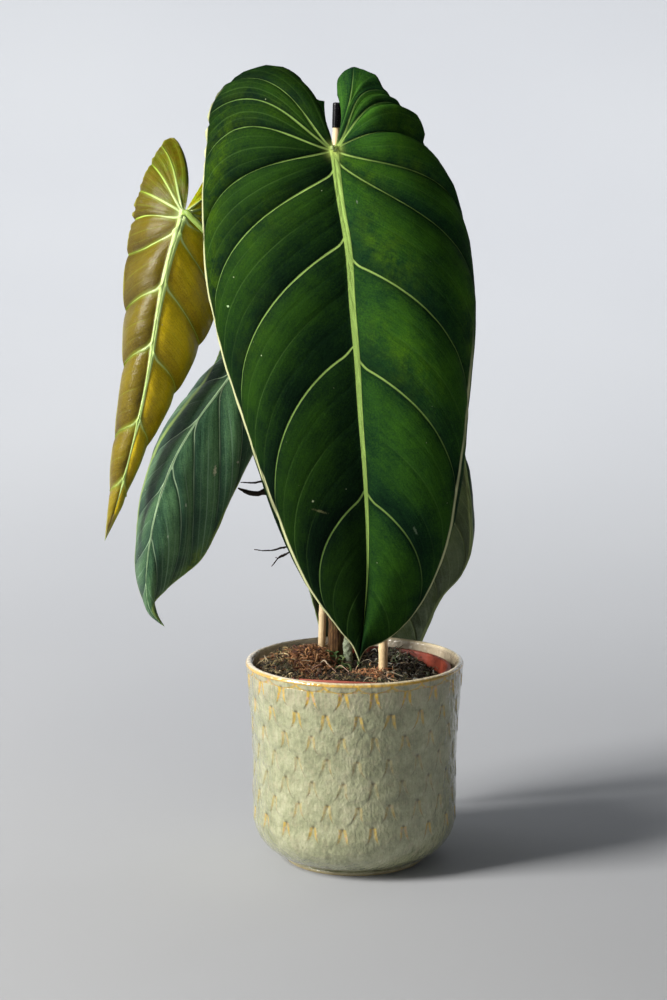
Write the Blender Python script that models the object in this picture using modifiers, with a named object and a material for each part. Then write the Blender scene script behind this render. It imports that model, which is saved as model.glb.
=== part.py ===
"""Climbing philodendron with hanging velvet leaves, in a nursery pot inside a glazed pot.

Frame: metres, +Z up. The origin is the centre of the glazed pot's flat foot, and the upper side
of the largest leaf looks along -Y. Sizes are in millimetres where a name or a table says so.
"""
import math

import bmesh
import bpy
import numpy as np
from mathutils import Vector

MM = 0.001
GAP = 0.3 * MM                      # running gap between pieces that touch
PART_NAME = "potted_philodendron"

# Glazed pot
POT_RIM_RADIUS = 75.0 * MM
POT_BODY_RADIUS = 70.3 * MM
POT_HEIGHT = 139.5 * MM
POT_FOOT_RADIUS = 48.5 * MM
POT_FOOT_HEIGHT = 2.5 * MM
POT_FOOT_GROOVE = 1.2 * MM          # how far the groove above the foot is set in
POT_FLARE_START = 75.0 * MM
POT_FLARE_POWER = 1.3
POT_ROUND_RADIUS = 29.0 * MM        # rounding between the wall and the foot
POT_WALL = 4.6 * MM
POT_FLOOR = 8.5 * MM
POT_LIP_ROUND = 1.4 * MM
POT_INNER_ROUND = 22.0 * MM
POT_UPPER_ROW = 112.0 * MM          # inner wall's mesh row half-way up the flare
POT_LOWER_ROWS = (0.78, 0.56, 0.37, 0.22)   # mesh rows of the rounding, shares of its top

# Scale relief: columns of scales, each row shifted by half a scale
SCALE_COLUMNS = 21
SCALE_STEPS = 4                     # mesh columns in one scale
SCALE_ROWS = 7
SCALE_FIRST_NECK = 130.0 * MM
SCALE_ROW_PITCH = 17.0 * MM
SCALE_ROW_TIGHTENING = 0.25 * MM    # each lower row is a little shorter
SCALE_BULGE = 0.9 * MM
SCALE_TURN = math.radians(5.9)      # the first neck's heading from +X
SCALE_SLOPE = 3.0                   # how fast the relief rises out of a groove
SCALE_GROOVE = 0.05                 # relief below this counts as groove

# Nursery pot
NURSERY_CENTRE = Vector((3.0, -4.0, 0.0)) * MM
NURSERY_BASE_Z = POT_FLOOR + GAP
NURSERY_RIM_Z = 135.5 * MM
NURSERY_RIM_RADIUS = 61.5 * MM
NURSERY_BASE_RADIUS = 38.0 * MM
NURSERY_LIP = 1.8 * MM
NURSERY_LIP_DEPTH = 5.0 * MM
NURSERY_EDGE = 0.5 * MM             # small roundings of the lip
NURSERY_TOE = Vector((1.2, 0.0, 3.0)) * MM      # slope at the foot of the wall
NURSERY_WALL = 1.2 * MM
NURSERY_FLOOR = 1.6 * MM
NURSERY_SIDES = 40
DRAIN_COUNT = 6
DRAIN_RADIUS = 4.0 * MM
DRAIN_CIRCLE = 27.0 * MM
DRAIN_TURN = math.radians(22.0)
DRAIN_SIDES = 12

# Soil
SOIL_TOP = 128.0 * MM
SOIL_SHOULDER = 4.0 * MM            # depth of the edge below the top
SOIL_SIDES = 40
SOIL_RINGS = 9
# mounds: (x, y, width, height) in mm
SOIL_MOUNDS = ((-38.0, 8.0, 24.0, 8.0), (-20.0, 42.0, 20.0, 6.5), (-8.0, -30.0, 24.0, 3.0),
               (20.0, 40.0, 16.0, 4.0), (46.0, -6.0, 18.0, -7.0), (30.0, 22.0, 14.0, -3.0))
SOIL_LUMP = 1.1 * MM
SEED = 7

# Stakes
TALL_STAKE_RADIUS = 2.75 * MM
TALL_STAKE_FOOT = Vector((-24.8, 30.8, 72.0)) * MM
TALL_STAKE_TOP = Vector((-12.0, 50.2, 509.5)) * MM
CAP_RADIUS = 3.3 * MM
CAP_LENGTH = 17.0 * MM
CAP_SOCKET = 9.0 * MM
SHORT_STAKE_RADIUS = 3.2 * MM
SHORT_STAKE_FOOT = Vector((19.6, 5.0, 22.0)) * MM
SHORT_STAKE_TOP = Vector((20.2, 6.5, 418.0)) * MM
STAKE_SIDES = 16

# Climbing stem: (x, y, z, radius) in mm, from its buried end to its pointed tip
STEM_PATH = ((-12.8, 31.0, 62.0, 4.6), (-12.8, 31.0, 100.0, 5.0), (-12.8, 31.0, 134.0, 5.7),
             (-12.8, 30.5, 165.0, 5.6), (-12.4, 30.5, 210.0, 5.2), (-12.0, 30.0, 260.0, 4.9),
             (-11.4, 30.0, 310.0, 4.5), (-11.0, 30.0, 350.0, 4.1), (-10.6, 30.0, 385.0, 3.6),
             (-10.2, 31.5, 408.0, 2.4), (-9.8, 33.0, 428.0, 0.7))
STEM_NODES = (165.0, 210.0, 260.0, 300.0, 333.0, 366.0)   # heights of the rings, mm
STEM_NODE_SWELL = 0.16
STEM_NODE_WIDTH = 3.5 * MM
STEM_STEPS = 46
STEM_SIDES = 10

# Cut stub of an older stem beside the climbing one: (x, y, z, radius) in mm
STUB_PATH = ((-3.6, 24.5, 108.0, 2.9), (-3.6, 24.5, 128.0, 3.1), (-4.4, 24.0, 139.0, 3.3),
             (-5.0, 23.6, 146.0, 3.0), (-5.4, 23.4, 148.5, 1.8))
STUB_STEPS = 9

LEAF_THICKNESS = 1.15 * MM
MIDRIB_THICKNESS = 2.6 * MM
QUILT_HEIGHT = 1.9 * MM             # how far the blade swells between two side veins
# places across a half blade, from the midrib (0) to the margin (1)
BLADE_COLUMNS = (0.0, 0.05, 0.2, 0.4, 0.62, 0.83, 1.0)
LOBE_END = 0.3                      # share of the margin that the basal lobe takes

# Side veins of each half, from the notch at the leaf's base to the tip. starts: where each
# leaves the midrib. ends: where it meets the margin. bows: how far it bows to the base. All are
# shares, and the notch's own bow stands with the leaf.
FRONT_VEINS = dict(
    left=dict(starts=(0.0, 0.0, 0.0, 0.0, 0.0, 0.0, 0.04, 0.175, 0.385, 0.655, 1.0),
              ends=(0.0, 0.03, 0.13, 0.19, 0.267, 0.373, 0.474, 0.59, 0.74, 0.913, 1.0),
              bows=(0.0, 0.04, 0.13, 0.20, 0.21, 0.17, 0.125, 0.13, 0.15, 0.17, 0.0)),
    right=dict(starts=(0.0, 0.0, 0.0, 0.0, 0.0, 0.0, 0.02, 0.215, 0.405, 0.66, 1.0),
               ends=(0.0, 0.048, 0.087, 0.132, 0.223, 0.302, 0.405, 0.545, 0.685, 0.875, 1.0),
               bows=(0.0, -0.02, 0.10, 0.17, 0.205, 0.075, 0.07, 0.11, 0.115, 0.152, 0.0)))
COMMON_HALF = dict(
    starts=(0.0, 0.0, 0.0, 0.0, 0.01, 0.09, 0.21, 0.36, 0.52, 0.69, 1.0),
    ends=(0.0, 0.08, 0.17, 0.26, 0.36, 0.46, 0.56, 0.67, 0.79, 0.90, 1.0),
    bows=(0.0, 0.05, 0.13, 0.18, 0.15, 0.12, 0.11, 0.11, 0.12, 0.12, 0.0))
COMMON_VEINS = dict(left=COMMON_HALF, right=COMMON_HALF)
FOLDED_HALF = dict(COMMON_HALF, bows=(0.0, 0.02, 0.04, 0.04, 0.04, 0.05, 0.07, 0.09, 0.11,
                                      0.12, 0.0))
FOLDED_VEINS = dict(left=FOLDED_HALF, right=COMMON_HALF)
YOUNG_HALF = dict(
    starts=(0.0, 0.0, 0.0, 0.0, 0.065, 0.22, 0.375, 0.52, 0.66, 0.80, 1.0),
    ends=(0.0, 0.08, 0.155, 0.23, 0.317, 0.46, 0.586, 0.69, 0.80, 0.90, 1.0),
    bows=(0.0, 0.02, 0.09, 0.10, 0.05, 0.10, 0.10, 0.10, 0.10, 0.10, 0.0))
YOUNG_VEINS = dict(left=YOUNG_HALF, right=YOUNG_HALF)

# Leaves. Every leaf is laid out from its junction, where the petiole meets the blade.
# junction: place in mm. midrib: (x, y, z) in mm from the junction. left and right: the margin
# as (x, z) in mm from the junction, from the notch round the lobe to the tip. fold and curl:
# how far the half falls back for each mm out from the midrib, straight and bending.
LEAVES = {
    "leaf_front": dict(
        junction=(-14.2, -50.0, 484.9), upper_side_to_camera=True,
        midrib=((0, 0, 0), (4, -6, -31), (9, -10, -60), (12, -13, -100), (15, -14, -134),
                (17, -13, -167), (20, -10, -206), (22, -4, -246), (22, 3, -281),
                (20, 11, -311), (17, 20, -341)),
        veins=FRONT_VEINS,
        left=dict(fold=0.06, curl=0.20, lobe=0.20, notch=-0.05,
                  margin=((-6, 31), (-16.5, 36), (-20.5, 44), (-30, 52), (-47, 54), (-64, 47), (-78, 33),
                          (-84, 0), (-86, -42), (-84, -85), (-75, -127), (-58, -180),
                          (-39, -232), (-15, -290), (5, -319), (13, -330), (17, -341))),
        right=dict(fold=0.08, curl=0.22, lobe=0.18, notch=-0.12,
                   margin=((2, 35), (3, 47), (12, 53), (27, 47.5), (33.5, 38.5), (44, 28), (57, 18),
                           (61, -6), (70, -15), (77.5, -28), (84, -47), (89, -74),
                           (91.5, -103), (88, -158),
                           (82, -211), (70, -274), (49, -313), (32, -327), (22, -331),
                           (17, -341))),
        rows_per_vein=3, wave=2.6, wave_count=11, shade=(0.012, 0.045, 0.014)),
    "leaf_young": dict(
        junction=(-113.4, -12.0, 443.3), upper_side_to_camera=False,
        midrib=((0, 0, 0), (-10, -4, -31), (-17, -6, -63), (-23, -6, -98), (-30, -3, -131),
                (-38, 2, -161), (-46, 8, -189), (-58, 18, -223)),
        veins=YOUNG_VEINS,
        left=dict(fold=0.34, curl=0.30, lobe=0.15, notch=0.11,
                  margin=((-12, 51), (-23, 36), (-32, 15), (-36, -1), (-40, -20), (-42, -38),
                          (-43, -65), (-44, -104), (-48.5, -139), (-53, -173), (-55, -199),
                          (-58, -223))),
        right=dict(fold=0.40, curl=0.25, lobe=0.15, notch=0.0,
                   margin=((15, 27), (20, 24), (25, 12), (26, -14), (24, -44), (18, -70),
                           (4, -100), (-17, -139), (-36, -175), (-49, -204), (-58, -223))),
        rows_per_vein=2, wave=2.2, wave_count=10, shade=(0.22, 0.16, 0.03)),
    "leaf_left": dict(
        junction=(-67.0, 10.0, 362.2), upper_side_to_camera=True,
        midrib=((0, 0, 0), (-19, -10, -30), (-40, -15, -58), (-59, -16, -92), (-69, -14, -123),
                (-75, -10, -158), (-76, -7, -174), (-73, -4, -191), (-64, -2, -202)),
        veins=FOLDED_VEINS,
        left=dict(fold=0.45, curl=0.28, lobe=0.0, notch=-0.03,
                  margin=((-10, 21), (-16, 18), (-21, 1), (-33, -29), (-51.5, -53), (-70, -81),
                          (-82, -119), (-86, -150), (-87, -166), (-85, -178), (-81, -188),
                          (-74, -197), (-64, -202))),
        right=dict(fold=0.16, curl=0.22, lobe=0.1, notch=-0.06,
                   margin=((4, 29), (19, 32), (30, 15), (33, -12), (24, -39), (-2, -82),
                           (-23, -124), (-40, -158), (-63, -177), (-72, -188), (-64, -202))),
        rows_per_vein=2, wave=1.6, wave_count=8, shade=(0.03, 0.06, 0.045)),
    "leaf_back": dict(
        junction=(16.9, 100.0, 307.5), upper_side_to_camera=False,
        midrib=((0, 0, 0), (0, 12, -38), (1, 18, -91), (0, 18, -151), (-1, 12, -210),
                (-4, 2, -265)),
        veins=COMMON_VEINS,
        left=dict(fold=-0.08, curl=-0.14, lobe=0.1, notch=-0.06,
                  margin=((-4, 28), (-20, 35), (-36, 28), (-48, 5), (-54, -29), (-56, -73),
                          (-53, -111), (-46, -149), (-36, -186), (-22, -231), (-4, -265))),
        right=dict(fold=-0.08, curl=-0.14, lobe=0.1, notch=-0.06,
                   margin=((3, 28), (20, 35), (41, 21), (56, -2), (66, -42), (71, -81),
                           (71, -113), (66, -126), (51, -145), (41, -168), (29, -198),
                           (13, -235), (-4, -265))),
        rows_per_vein=2, wave=1.8, wave_count=8, shade=(0.07, 0.085, 0.04)),
}

# Petioles: the stem node's height in mm, the heading in degrees from +X, then the way in mm to
# just behind the blade's junction
PETIOLE_RADIUS = 2.6 * MM
PETIOLE_END_RADIUS = 1.4 * MM
PETIOLE_STEPS = 14
PETIOLE_SIDES = 8
PETIOLES = {
    "petiole_front": (333.0, -90.0, ((-12.0, 17.0, 346.0), (-13.0, 6.0, 405.0),
                                     (-14.0, -14.0, 461.0), (-14.2, -32.0, 484.0),
                                     (-14.2, -48.35, 485.2))),
    "petiole_young": (366.0, 190.0, ((-22.0, 26.0, 370.0), (-40.0, 16.0, 388.0),
                                     (-68.0, 0.0, 411.0), (-94.0, -17.5, 427.5),
                                     (-106.5, -19.5, 440.0), (-111.6, -18.0, 444.6),
                                     (-113.4, -14.5, 443.4))),
    "petiole_left": (300.0, 165.0, ((-24.0, 34.0, 308.0), (-38.0, 38.0, 330.0),
                                    (-55.0, 37.0, 353.0), (-64.5, 27.0, 364.0),
                                    (-67.0, 11.8, 362.8))),
    "petiole_back": (210.0, 50.0, ((-4.0, 41.0, 216.0), (2.0, 54.0, 250.0),
                                   (9.0, 72.0, 290.0), (15.0, 87.0, 309.0),
                                   (16.9, 98.35, 308.2))),
}

# Aerial roots: the node's height and heading, then strands of (x, y, z, radius) in mm. The
# first strand starts at the stem, and the others leave it on the way.
ROOT_STEPS = 10
ROOT_SIDES = 8
ROOT_START_RADIUS = 1.3
AERIAL_ROOTS = {
    "aerial_root_upper": (260.0, 180.0, (
        ((-36.0, 33.0, 262.0, 1.2), (-60.0, 36.0, 258.0, 1.1), (-70.0, 37.0, 256.0, 0.9),
         (-78.5, 37.5, 256.4, 0.5)),
        ((-30.0, 32.0, 261.5, 1.0), (-48.0, 34.0, 258.0, 1.5), (-60.0, 34.5, 249.5, 2.1),
         (-70.0, 35.0, 249.0, 2.2), (-76.0, 35.0, 250.5, 1.6), (-80.5, 34.5, 253.0, 0.8)))),
    "aerial_root_lower": (210.0, 180.0, (
        ((-34.0, 30.0, 214.0, 1.2), (-50.0, 29.0, 211.0, 1.0), (-62.0, 28.0, 210.0, 0.7),
         (-69.5, 27.5, 210.6, 0.5)),
        ((-33.0, 30.0, 213.6, 1.0), (-44.0, 29.0, 208.5, 1.0), (-52.0, 28.5, 203.0, 0.8),
         (-57.5, 28.0, 198.0, 0.5)))),
}
SEAT_LEAD = 3.0                     # straight run out of the stem, mm


def material(name, colour, roughness, metallic=0.0):
    """A Principled material with one plain colour."""
    mat = bpy.data.materials.new(name)
    mat.use_nodes = True
    shader = mat.node_tree.nodes["Principled BSDF"]
    shader.inputs["Base Color"].default_value = (*colour, 1.0)
    shader.inputs["Roughness"].default_value = roughness
    shader.inputs["Metallic"].default_value = metallic
    return mat


def collection(name):
    """A new collection under the scene."""
    group = bpy.data.collections.new(name)
    bpy.context.scene.collection.children.link(group)
    return group


def add_object(name, data, group, mat=None):
    """Link an object made from mesh or curve data to a collection."""
    obj = bpy.data.objects.new(name, data)
    group.objects.link(obj)
    if mat is not None:
        data.materials.append(mat)
    return obj


def shade(mesh, angle=40.0):
    """Smooth shading that keeps edges sharper than the angle, in degrees."""
    mesh.shade_smooth()
    mesh.set_sharp_from_angle(angle=math.radians(angle))


def applied(obj, name, group, mat):
    """The object as its modifiers leave it, as a plain mesh with loose ends welded."""
    bpy.context.view_layer.update()
    graph = bpy.context.evaluated_depsgraph_get()
    mesh = bpy.data.meshes.new_from_object(obj.evaluated_get(graph))
    mesh.transform(obj.matrix_world)
    bm = bmesh.new()
    bm.from_mesh(mesh)
    bmesh.ops.remove_doubles(bm, verts=bm.verts, dist=0.01 * MM)
    bm.to_mesh(mesh)
    bm.free()
    old_data = obj.data
    bpy.data.objects.remove(obj)
    if isinstance(old_data, bpy.types.Curve):
        bpy.data.curves.remove(old_data)
    mesh.name = name
    mesh.materials.clear()
    return add_object(name, mesh, group, mat)


def turned(name, profile, steps, group, mat):
    """A profile of (radius, height) points turned about Z by a Screw modifier."""
    mesh = bpy.data.meshes.new(name)
    verts = [(r, 0.0, z) for r, z in profile]
    mesh.from_pydata(verts, [(i, i + 1) for i in range(len(verts) - 1)], [])
    obj = add_object(name, mesh, group, mat)
    screw = obj.modifiers.new("turn", "SCREW")
    screw.steps = steps
    screw.render_steps = steps
    screw.use_merge_vertices = True
    screw.merge_threshold = 0.01 * MM
    return obj


def smooth_line(stations, count):
    """Evenly spaced points on a smooth curve through stations.

    Each span is a cubic whose end slopes come from the neighbouring stations, weighted by the
    lengths of the two spans, and the points are then spread evenly along the curve.
    """
    p = np.array(stations, dtype=float)
    h = np.linalg.norm(np.diff(p, axis=0), axis=1)
    knots = np.concatenate(([0.0], np.cumsum(h)))
    slopes = np.diff(p, axis=0) / h[:, None]
    inner = (slopes[:-1] * h[1:, None] + slopes[1:] * h[:-1, None]) / (h[:-1] + h[1:])[:, None]
    m = np.vstack((slopes[:1], inner, slopes[-1:]))
    fine = np.linspace(0.0, knots[-1], 40 * len(p))
    i = np.clip(np.searchsorted(knots, fine, side="right") - 1, 0, len(h) - 1)
    s = ((fine - knots[i]) / h[i])[:, None]
    width = h[i][:, None]
    curve = ((2 * s**3 - 3 * s**2 + 1) * p[i] + (s**3 - 2 * s**2 + s) * width * m[i]
             + (3 * s**2 - 2 * s**3) * p[i + 1] + (s**3 - s**2) * width * m[i + 1])
    length = np.concatenate(([0.0], np.cumsum(np.linalg.norm(np.diff(curve, axis=0), axis=1))))
    places = np.linspace(0.0, length[-1], count)
    return np.stack([np.interp(places, length, column) for column in curve.T], axis=-1)


def tube(name, points, radii, sides, group, mat):
    """A round bar along points, with a radius at each one and filled ends."""
    curve = bpy.data.curves.new(name, "CURVE")
    curve.dimensions = "3D"
    curve.bevel_depth = MM
    curve.bevel_resolution = sides // 2 - 2
    curve.use_fill_caps = True
    spline = curve.splines.new("POLY")
    spline.points.add(len(points) - 1)
    for place, co, radius in zip(spline.points, points, radii):
        place.co = (*co, 1.0)
        place.radius = radius / MM
    return add_object(name, curve, group, mat)


def glazed_pot_radius(z):
    """Outer radius of the glazed pot at height z: rounded bottom, straight wall, flared rim."""
    centre_z = POT_FOOT_HEIGHT + POT_ROUND_RADIUS
    if z < centre_z:
        drop = (centre_z - z) / POT_ROUND_RADIUS
        return POT_BODY_RADIUS - POT_ROUND_RADIUS * (1.0 - math.sqrt(max(0.0, 1.0 - drop**2)))
    if z < POT_FLARE_START:
        return POT_BODY_RADIUS
    rise = (z - POT_FLARE_START) / (POT_HEIGHT - POT_FLARE_START)
    return POT_BODY_RADIUS + (POT_RIM_RADIUS - POT_BODY_RADIUS) * rise**POT_FLARE_POWER


def neck_height(row):
    """Height of a row of scale necks, counted down from the rim."""
    return SCALE_FIRST_NECK - SCALE_ROW_PITCH * row + SCALE_ROW_TIGHTENING * row**2


def glazed_pot_rows():
    """Heights of the outer wall's mesh rows: two for each row of scales, then the rounding."""
    halves = [neck_height(0.5 * k) for k in range(-1, 2 * SCALE_ROWS)]
    lowest = halves[-1]
    rounding = [lowest * share for share in POT_LOWER_ROWS]
    return [h for h in halves if h < POT_HEIGHT - POT_LIP_ROUND] + rounding


def scale_relief(angle, z):
    """Height of the scale relief: 0 in the grooves, full in the middle of a scale.

    A groove leaves every neck to both sides and reaches the next row's necks half a scale
    further on, so the relief is the distance to the nearest of those zigzag grooves.
    """
    top, bottom = neck_height(-0.5), neck_height(SCALE_ROWS - 0.5)
    if z > top or z < bottom:
        return 0.0
    row = np.interp(-z, [-neck_height(k * 0.5) for k in range(-1, 2 * SCALE_ROWS)],
                    [k * 0.5 for k in range(-1, 2 * SCALE_ROWS)])
    column = (angle - SCALE_TURN) / (2.0 * math.pi) * SCALE_COLUMNS
    first = (column + 0.5 * row) % 1.0
    second = (column - 0.5 * row) % 1.0
    near = min(min(first, 1.0 - first), min(second, 1.0 - second))
    return min(1.0, near * SCALE_SLOPE)


def glazed_pot(group, mat):
    """The glazed pot: a turned shell on a flat foot, with the scale relief raised from it."""
    inner_radius = POT_BODY_RADIUS - POT_WALL
    profile = [(0.0, POT_FLOOR), (inner_radius - POT_INNER_ROUND, POT_FLOOR)]
    for turn in (45.0, 90.0):
        a = math.radians(turn)
        profile.append((inner_radius - POT_INNER_ROUND * (1.0 - math.sin(a)),
                        POT_FLOOR + POT_INNER_ROUND * (1.0 - math.cos(a))))
    profile.append((inner_radius, POT_FLARE_START))
    profile.append((glazed_pot_radius(POT_UPPER_ROW) - POT_WALL, POT_UPPER_ROW))
    profile.append((POT_RIM_RADIUS - POT_WALL, POT_HEIGHT - POT_LIP_ROUND))
    profile.append((POT_RIM_RADIUS - POT_WALL + POT_LIP_ROUND, POT_HEIGHT))
    profile.append((POT_RIM_RADIUS - POT_LIP_ROUND, POT_HEIGHT))
    profile.append((POT_RIM_RADIUS, POT_HEIGHT - POT_LIP_ROUND))
    profile += [(glazed_pot_radius(z), z) for z in glazed_pot_rows()]
    profile.append((POT_FOOT_RADIUS - POT_FOOT_GROOVE, POT_FOOT_HEIGHT + POT_FOOT_GROOVE))
    profile.append((POT_FOOT_RADIUS, POT_FOOT_HEIGHT))
    profile.append((POT_FOOT_RADIUS, 0.0))
    profile.append((0.0, 0.0))
    shell = turned("glazed_pot", profile, SCALE_COLUMNS * SCALE_STEPS, group, mat)
    shell.rotation_euler.z = SCALE_TURN
    pot = applied(shell, "outer_pot", group, mat)

    bm = bmesh.new()
    bm.from_mesh(pot.data)
    grooves = set()
    for v in bm.verts:
        radius = math.hypot(v.co.x, v.co.y)
        if radius < glazed_pot_radius(v.co.z) - 0.5 * MM or v.co.z < POT_FOOT_HEIGHT + MM:
            continue
        relief = scale_relief(math.atan2(v.co.y, v.co.x), v.co.z)
        if relief < SCALE_GROOVE:
            grooves.add(v)
        out = 1.0 + SCALE_BULGE * relief / radius
        v.co.x *= out
        v.co.y *= out
    for face in list(bm.faces):
        corners = list(face.verts)
        if len(corners) != 4:
            continue
        for a, b in ((0, 2), (1, 3)):
            if corners[a] in grooves and corners[b] in grooves:
                bmesh.utils.face_split(face, corners[a], corners[b])
                break
    bm.to_mesh(pot.data)
    bm.free()
    shade(pot.data)
    return pot


def nursery_pot(group, cutters, mat):
    """The thin plastic pot that holds the soil, with a lip and drain holes in its floor."""
    def radius(z):
        share = (z - NURSERY_BASE_Z) / (NURSERY_RIM_Z - NURSERY_BASE_Z)
        return NURSERY_BASE_RADIUS + (NURSERY_RIM_RADIUS - NURSERY_BASE_RADIUS) * share

    floor_z = NURSERY_BASE_Z + NURSERY_FLOOR
    lip_z = NURSERY_RIM_Z - NURSERY_LIP_DEPTH
    lip_radius = NURSERY_RIM_RADIUS + NURSERY_LIP
    profile = [(0.0, floor_z), (radius(floor_z) - NURSERY_WALL, floor_z),
               (NURSERY_RIM_RADIUS - NURSERY_WALL, NURSERY_RIM_Z - NURSERY_EDGE),
               (NURSERY_RIM_RADIUS - NURSERY_WALL + NURSERY_EDGE, NURSERY_RIM_Z),
               (lip_radius - NURSERY_EDGE, NURSERY_RIM_Z), (lip_radius, NURSERY_RIM_Z - NURSERY_EDGE),
               (lip_radius - NURSERY_EDGE, lip_z), (radius(lip_z), lip_z),
               (NURSERY_BASE_RADIUS + NURSERY_TOE.x, NURSERY_BASE_Z + NURSERY_TOE.z),
               (NURSERY_BASE_RADIUS, NURSERY_BASE_Z), (0.0, NURSERY_BASE_Z)]
    shell = turned("nursery_shell", profile, NURSERY_SIDES, group, mat)
    shell.location = NURSERY_CENTRE
    pot = applied(shell, "nursery_pot", group, mat)
    for k in range(DRAIN_COUNT):
        angle = 2.0 * math.pi * k / DRAIN_COUNT + DRAIN_TURN
        place = NURSERY_CENTRE + Vector((math.cos(angle), math.sin(angle), 0.0)) * DRAIN_CIRCLE
        place.z = NURSERY_BASE_Z + 0.5 * NURSERY_FLOOR
        cut(pot, cylinder(f"drain_{k}", place, DRAIN_RADIUS, 4.0 * NURSERY_FLOOR, DRAIN_SIDES,
                          cutters))
    shade(pot.data)
    return pot


def cylinder(name, centre, radius, depth, sides, group):
    """An upright cylinder primitive at centre."""
    mesh = bpy.data.meshes.new(name)
    bm = bmesh.new()
    bmesh.ops.create_cone(bm, cap_ends=True, segments=sides, radius1=radius, radius2=radius,
                          depth=depth)
    bm.to_mesh(mesh)
    bm.free()
    obj = add_object(name, mesh, group)
    obj.location = centre
    return obj


def cut(obj, cutter):
    """Cut one object from another with a Boolean."""
    cutter.display_type = "WIRE"
    cutter.hide_render = True
    hole = obj.modifiers.new(f"cut_{cutter.name}", "BOOLEAN")
    hole.operation = "DIFFERENCE"
    hole.object = cutter


def hole_along(name, points, radii, cutters):
    """A cutter that follows a buried stem or stake with the running gap all round it."""
    wide = [r + GAP for r in radii]
    rod = tube(name, points, wide, STAKE_SIDES, cutters, None)
    return applied(rod, name, cutters, None)


def soil(group, cutters, mat):
    """Soil that fills the nursery pot, with a lumpy, mossy top and a hole for each stem."""
    rng = np.random.default_rng(SEED)
    bottom = NURSERY_BASE_Z + NURSERY_FLOOR + GAP
    slope = (NURSERY_RIM_RADIUS - NURSERY_BASE_RADIUS) / (NURSERY_RIM_Z - NURSERY_BASE_Z)
    wall = NURSERY_WALL + 2.0 * GAP

    def inside(z):
        return NURSERY_BASE_RADIUS + slope * (z - NURSERY_BASE_Z) - wall

    angles = 2.0 * np.pi * np.arange(SOIL_SIDES) / SOIL_SIDES
    edge_z = SOIL_TOP - SOIL_SHOULDER
    rings = [(0.0, bottom), (inside(bottom), bottom), (inside(edge_z), edge_z)]
    rings += [(inside(edge_z) * math.sqrt(k / SOIL_RINGS), SOIL_TOP)
              for k in range(SOIL_RINGS - 1, -1, -1)]
    bm = bmesh.new()
    loops = []
    for radius, z in rings:
        loops.append([bm.verts.new((radius * math.cos(a), radius * math.sin(a), z))
                      for a in angles])
    for low, high in zip(loops[:-1], loops[1:]):
        for k in range(SOIL_SIDES):
            j = (k + 1) % SOIL_SIDES
            bm.faces.new((low[k], low[j], high[j], high[k]))
    bmesh.ops.remove_doubles(bm, verts=bm.verts, dist=0.01 * MM)
    for v in bm.verts:
        if v.co.z < SOIL_TOP - MM:
            continue
        x, y = (v.co.x + NURSERY_CENTRE.x) / MM, (v.co.y + NURSERY_CENTRE.y) / MM
        for mx, my, width, height in SOIL_MOUNDS:
            distance = math.hypot(x - mx, y - my) / width
            v.co.z += height * MM * math.exp(-distance**2)
        v.co.z += SOIL_LUMP * rng.uniform(-1.0, 1.0)
    mesh = bpy.data.meshes.new("soil")
    bmesh.ops.recalc_face_normals(bm, faces=bm.faces)
    bmesh.ops.triangulate(bm, faces=bm.faces)
    bm.to_mesh(mesh)
    bm.free()
    body = add_object("soil", mesh, group, mat)
    body.location = NURSERY_CENTRE
    below = Vector((0.0, 0.0, GAP))
    for foot, top, radius in ((TALL_STAKE_FOOT, TALL_STAKE_TOP, TALL_STAKE_RADIUS),
                              (SHORT_STAKE_FOOT, SHORT_STAKE_TOP, SHORT_STAKE_RADIUS)):
        above = foot.lerp(top, 0.5)
        cut(body, hole_along(f"hole_{len(body.modifiers)}", (foot - below, above),
                             (radius, radius), cutters))
    for path in (STEM_PATH[:4], STUB_PATH):
        points = [Vector(row[:3]) * MM for row in path]
        points[0] = points[0] - below
        points.append(points[-1] + Vector((0.0, 0.0, 12.0)) * MM)
        widest = max(row[3] for row in path) * MM
        cut(body, hole_along(f"hole_{len(body.modifiers)}", points, [widest] * len(points),
                             cutters))
    return body


def stakes(group, cane, cap_mat):
    """Two bamboo canes, and the cap on top of the tall one."""
    for name, foot, top, radius in (
            ("stake_tall", TALL_STAKE_FOOT, TALL_STAKE_TOP, TALL_STAKE_RADIUS),
            ("stake_short", SHORT_STAKE_FOOT, SHORT_STAKE_TOP, SHORT_STAKE_RADIUS)):
        tube(name, (foot, top), (radius, radius), STAKE_SIDES, group, cane)

    socket = TALL_STAKE_RADIUS + GAP
    skirt = -CAP_SOCKET
    dome = CAP_LENGTH + skirt
    profile = [(0.0, GAP), (socket, GAP), (socket, skirt), (CAP_RADIUS, skirt)]
    profile += [(CAP_RADIUS * math.cos(math.radians(a)),
                 dome - CAP_RADIUS + CAP_RADIUS * math.sin(math.radians(a)))
                for a in (0.0, 30.0, 60.0)]
    profile.append((0.0, dome))
    profile.reverse()
    cap = turned("cap", profile, STAKE_SIDES, group, cap_mat)
    lean = (TALL_STAKE_TOP - TALL_STAKE_FOOT).normalized()
    cap.rotation_mode = "QUATERNION"
    cap.rotation_quaternion = lean.to_track_quat("Z", "Y")
    cap.location = TALL_STAKE_TOP
    cap = applied(cap, "stake_cap", group, cap_mat)
    shade(cap.data)


def stem_line():
    """The stem's axis and radius in mm, with a swelling at each leaf node."""
    line = smooth_line(STEM_PATH, STEM_STEPS)
    for node in STEM_NODES:
        offset = (line[:, 2] - node) * MM / STEM_NODE_WIDTH
        line[:, 3] *= 1.0 + STEM_NODE_SWELL * np.exp(-offset**2)
    return line


def stem_seat(height, heading):
    """Place just off the stem's skin at a height, and the way out from there, in mm."""
    line = stem_line()
    x, y, radius = (np.interp(height, line[:, 2], line[:, k]) for k in (0, 1, 3))
    out = np.array([math.cos(math.radians(heading)), math.sin(math.radians(heading)), 0.0])
    return np.array([x, y, height]) + out * (radius + GAP / MM), out


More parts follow.
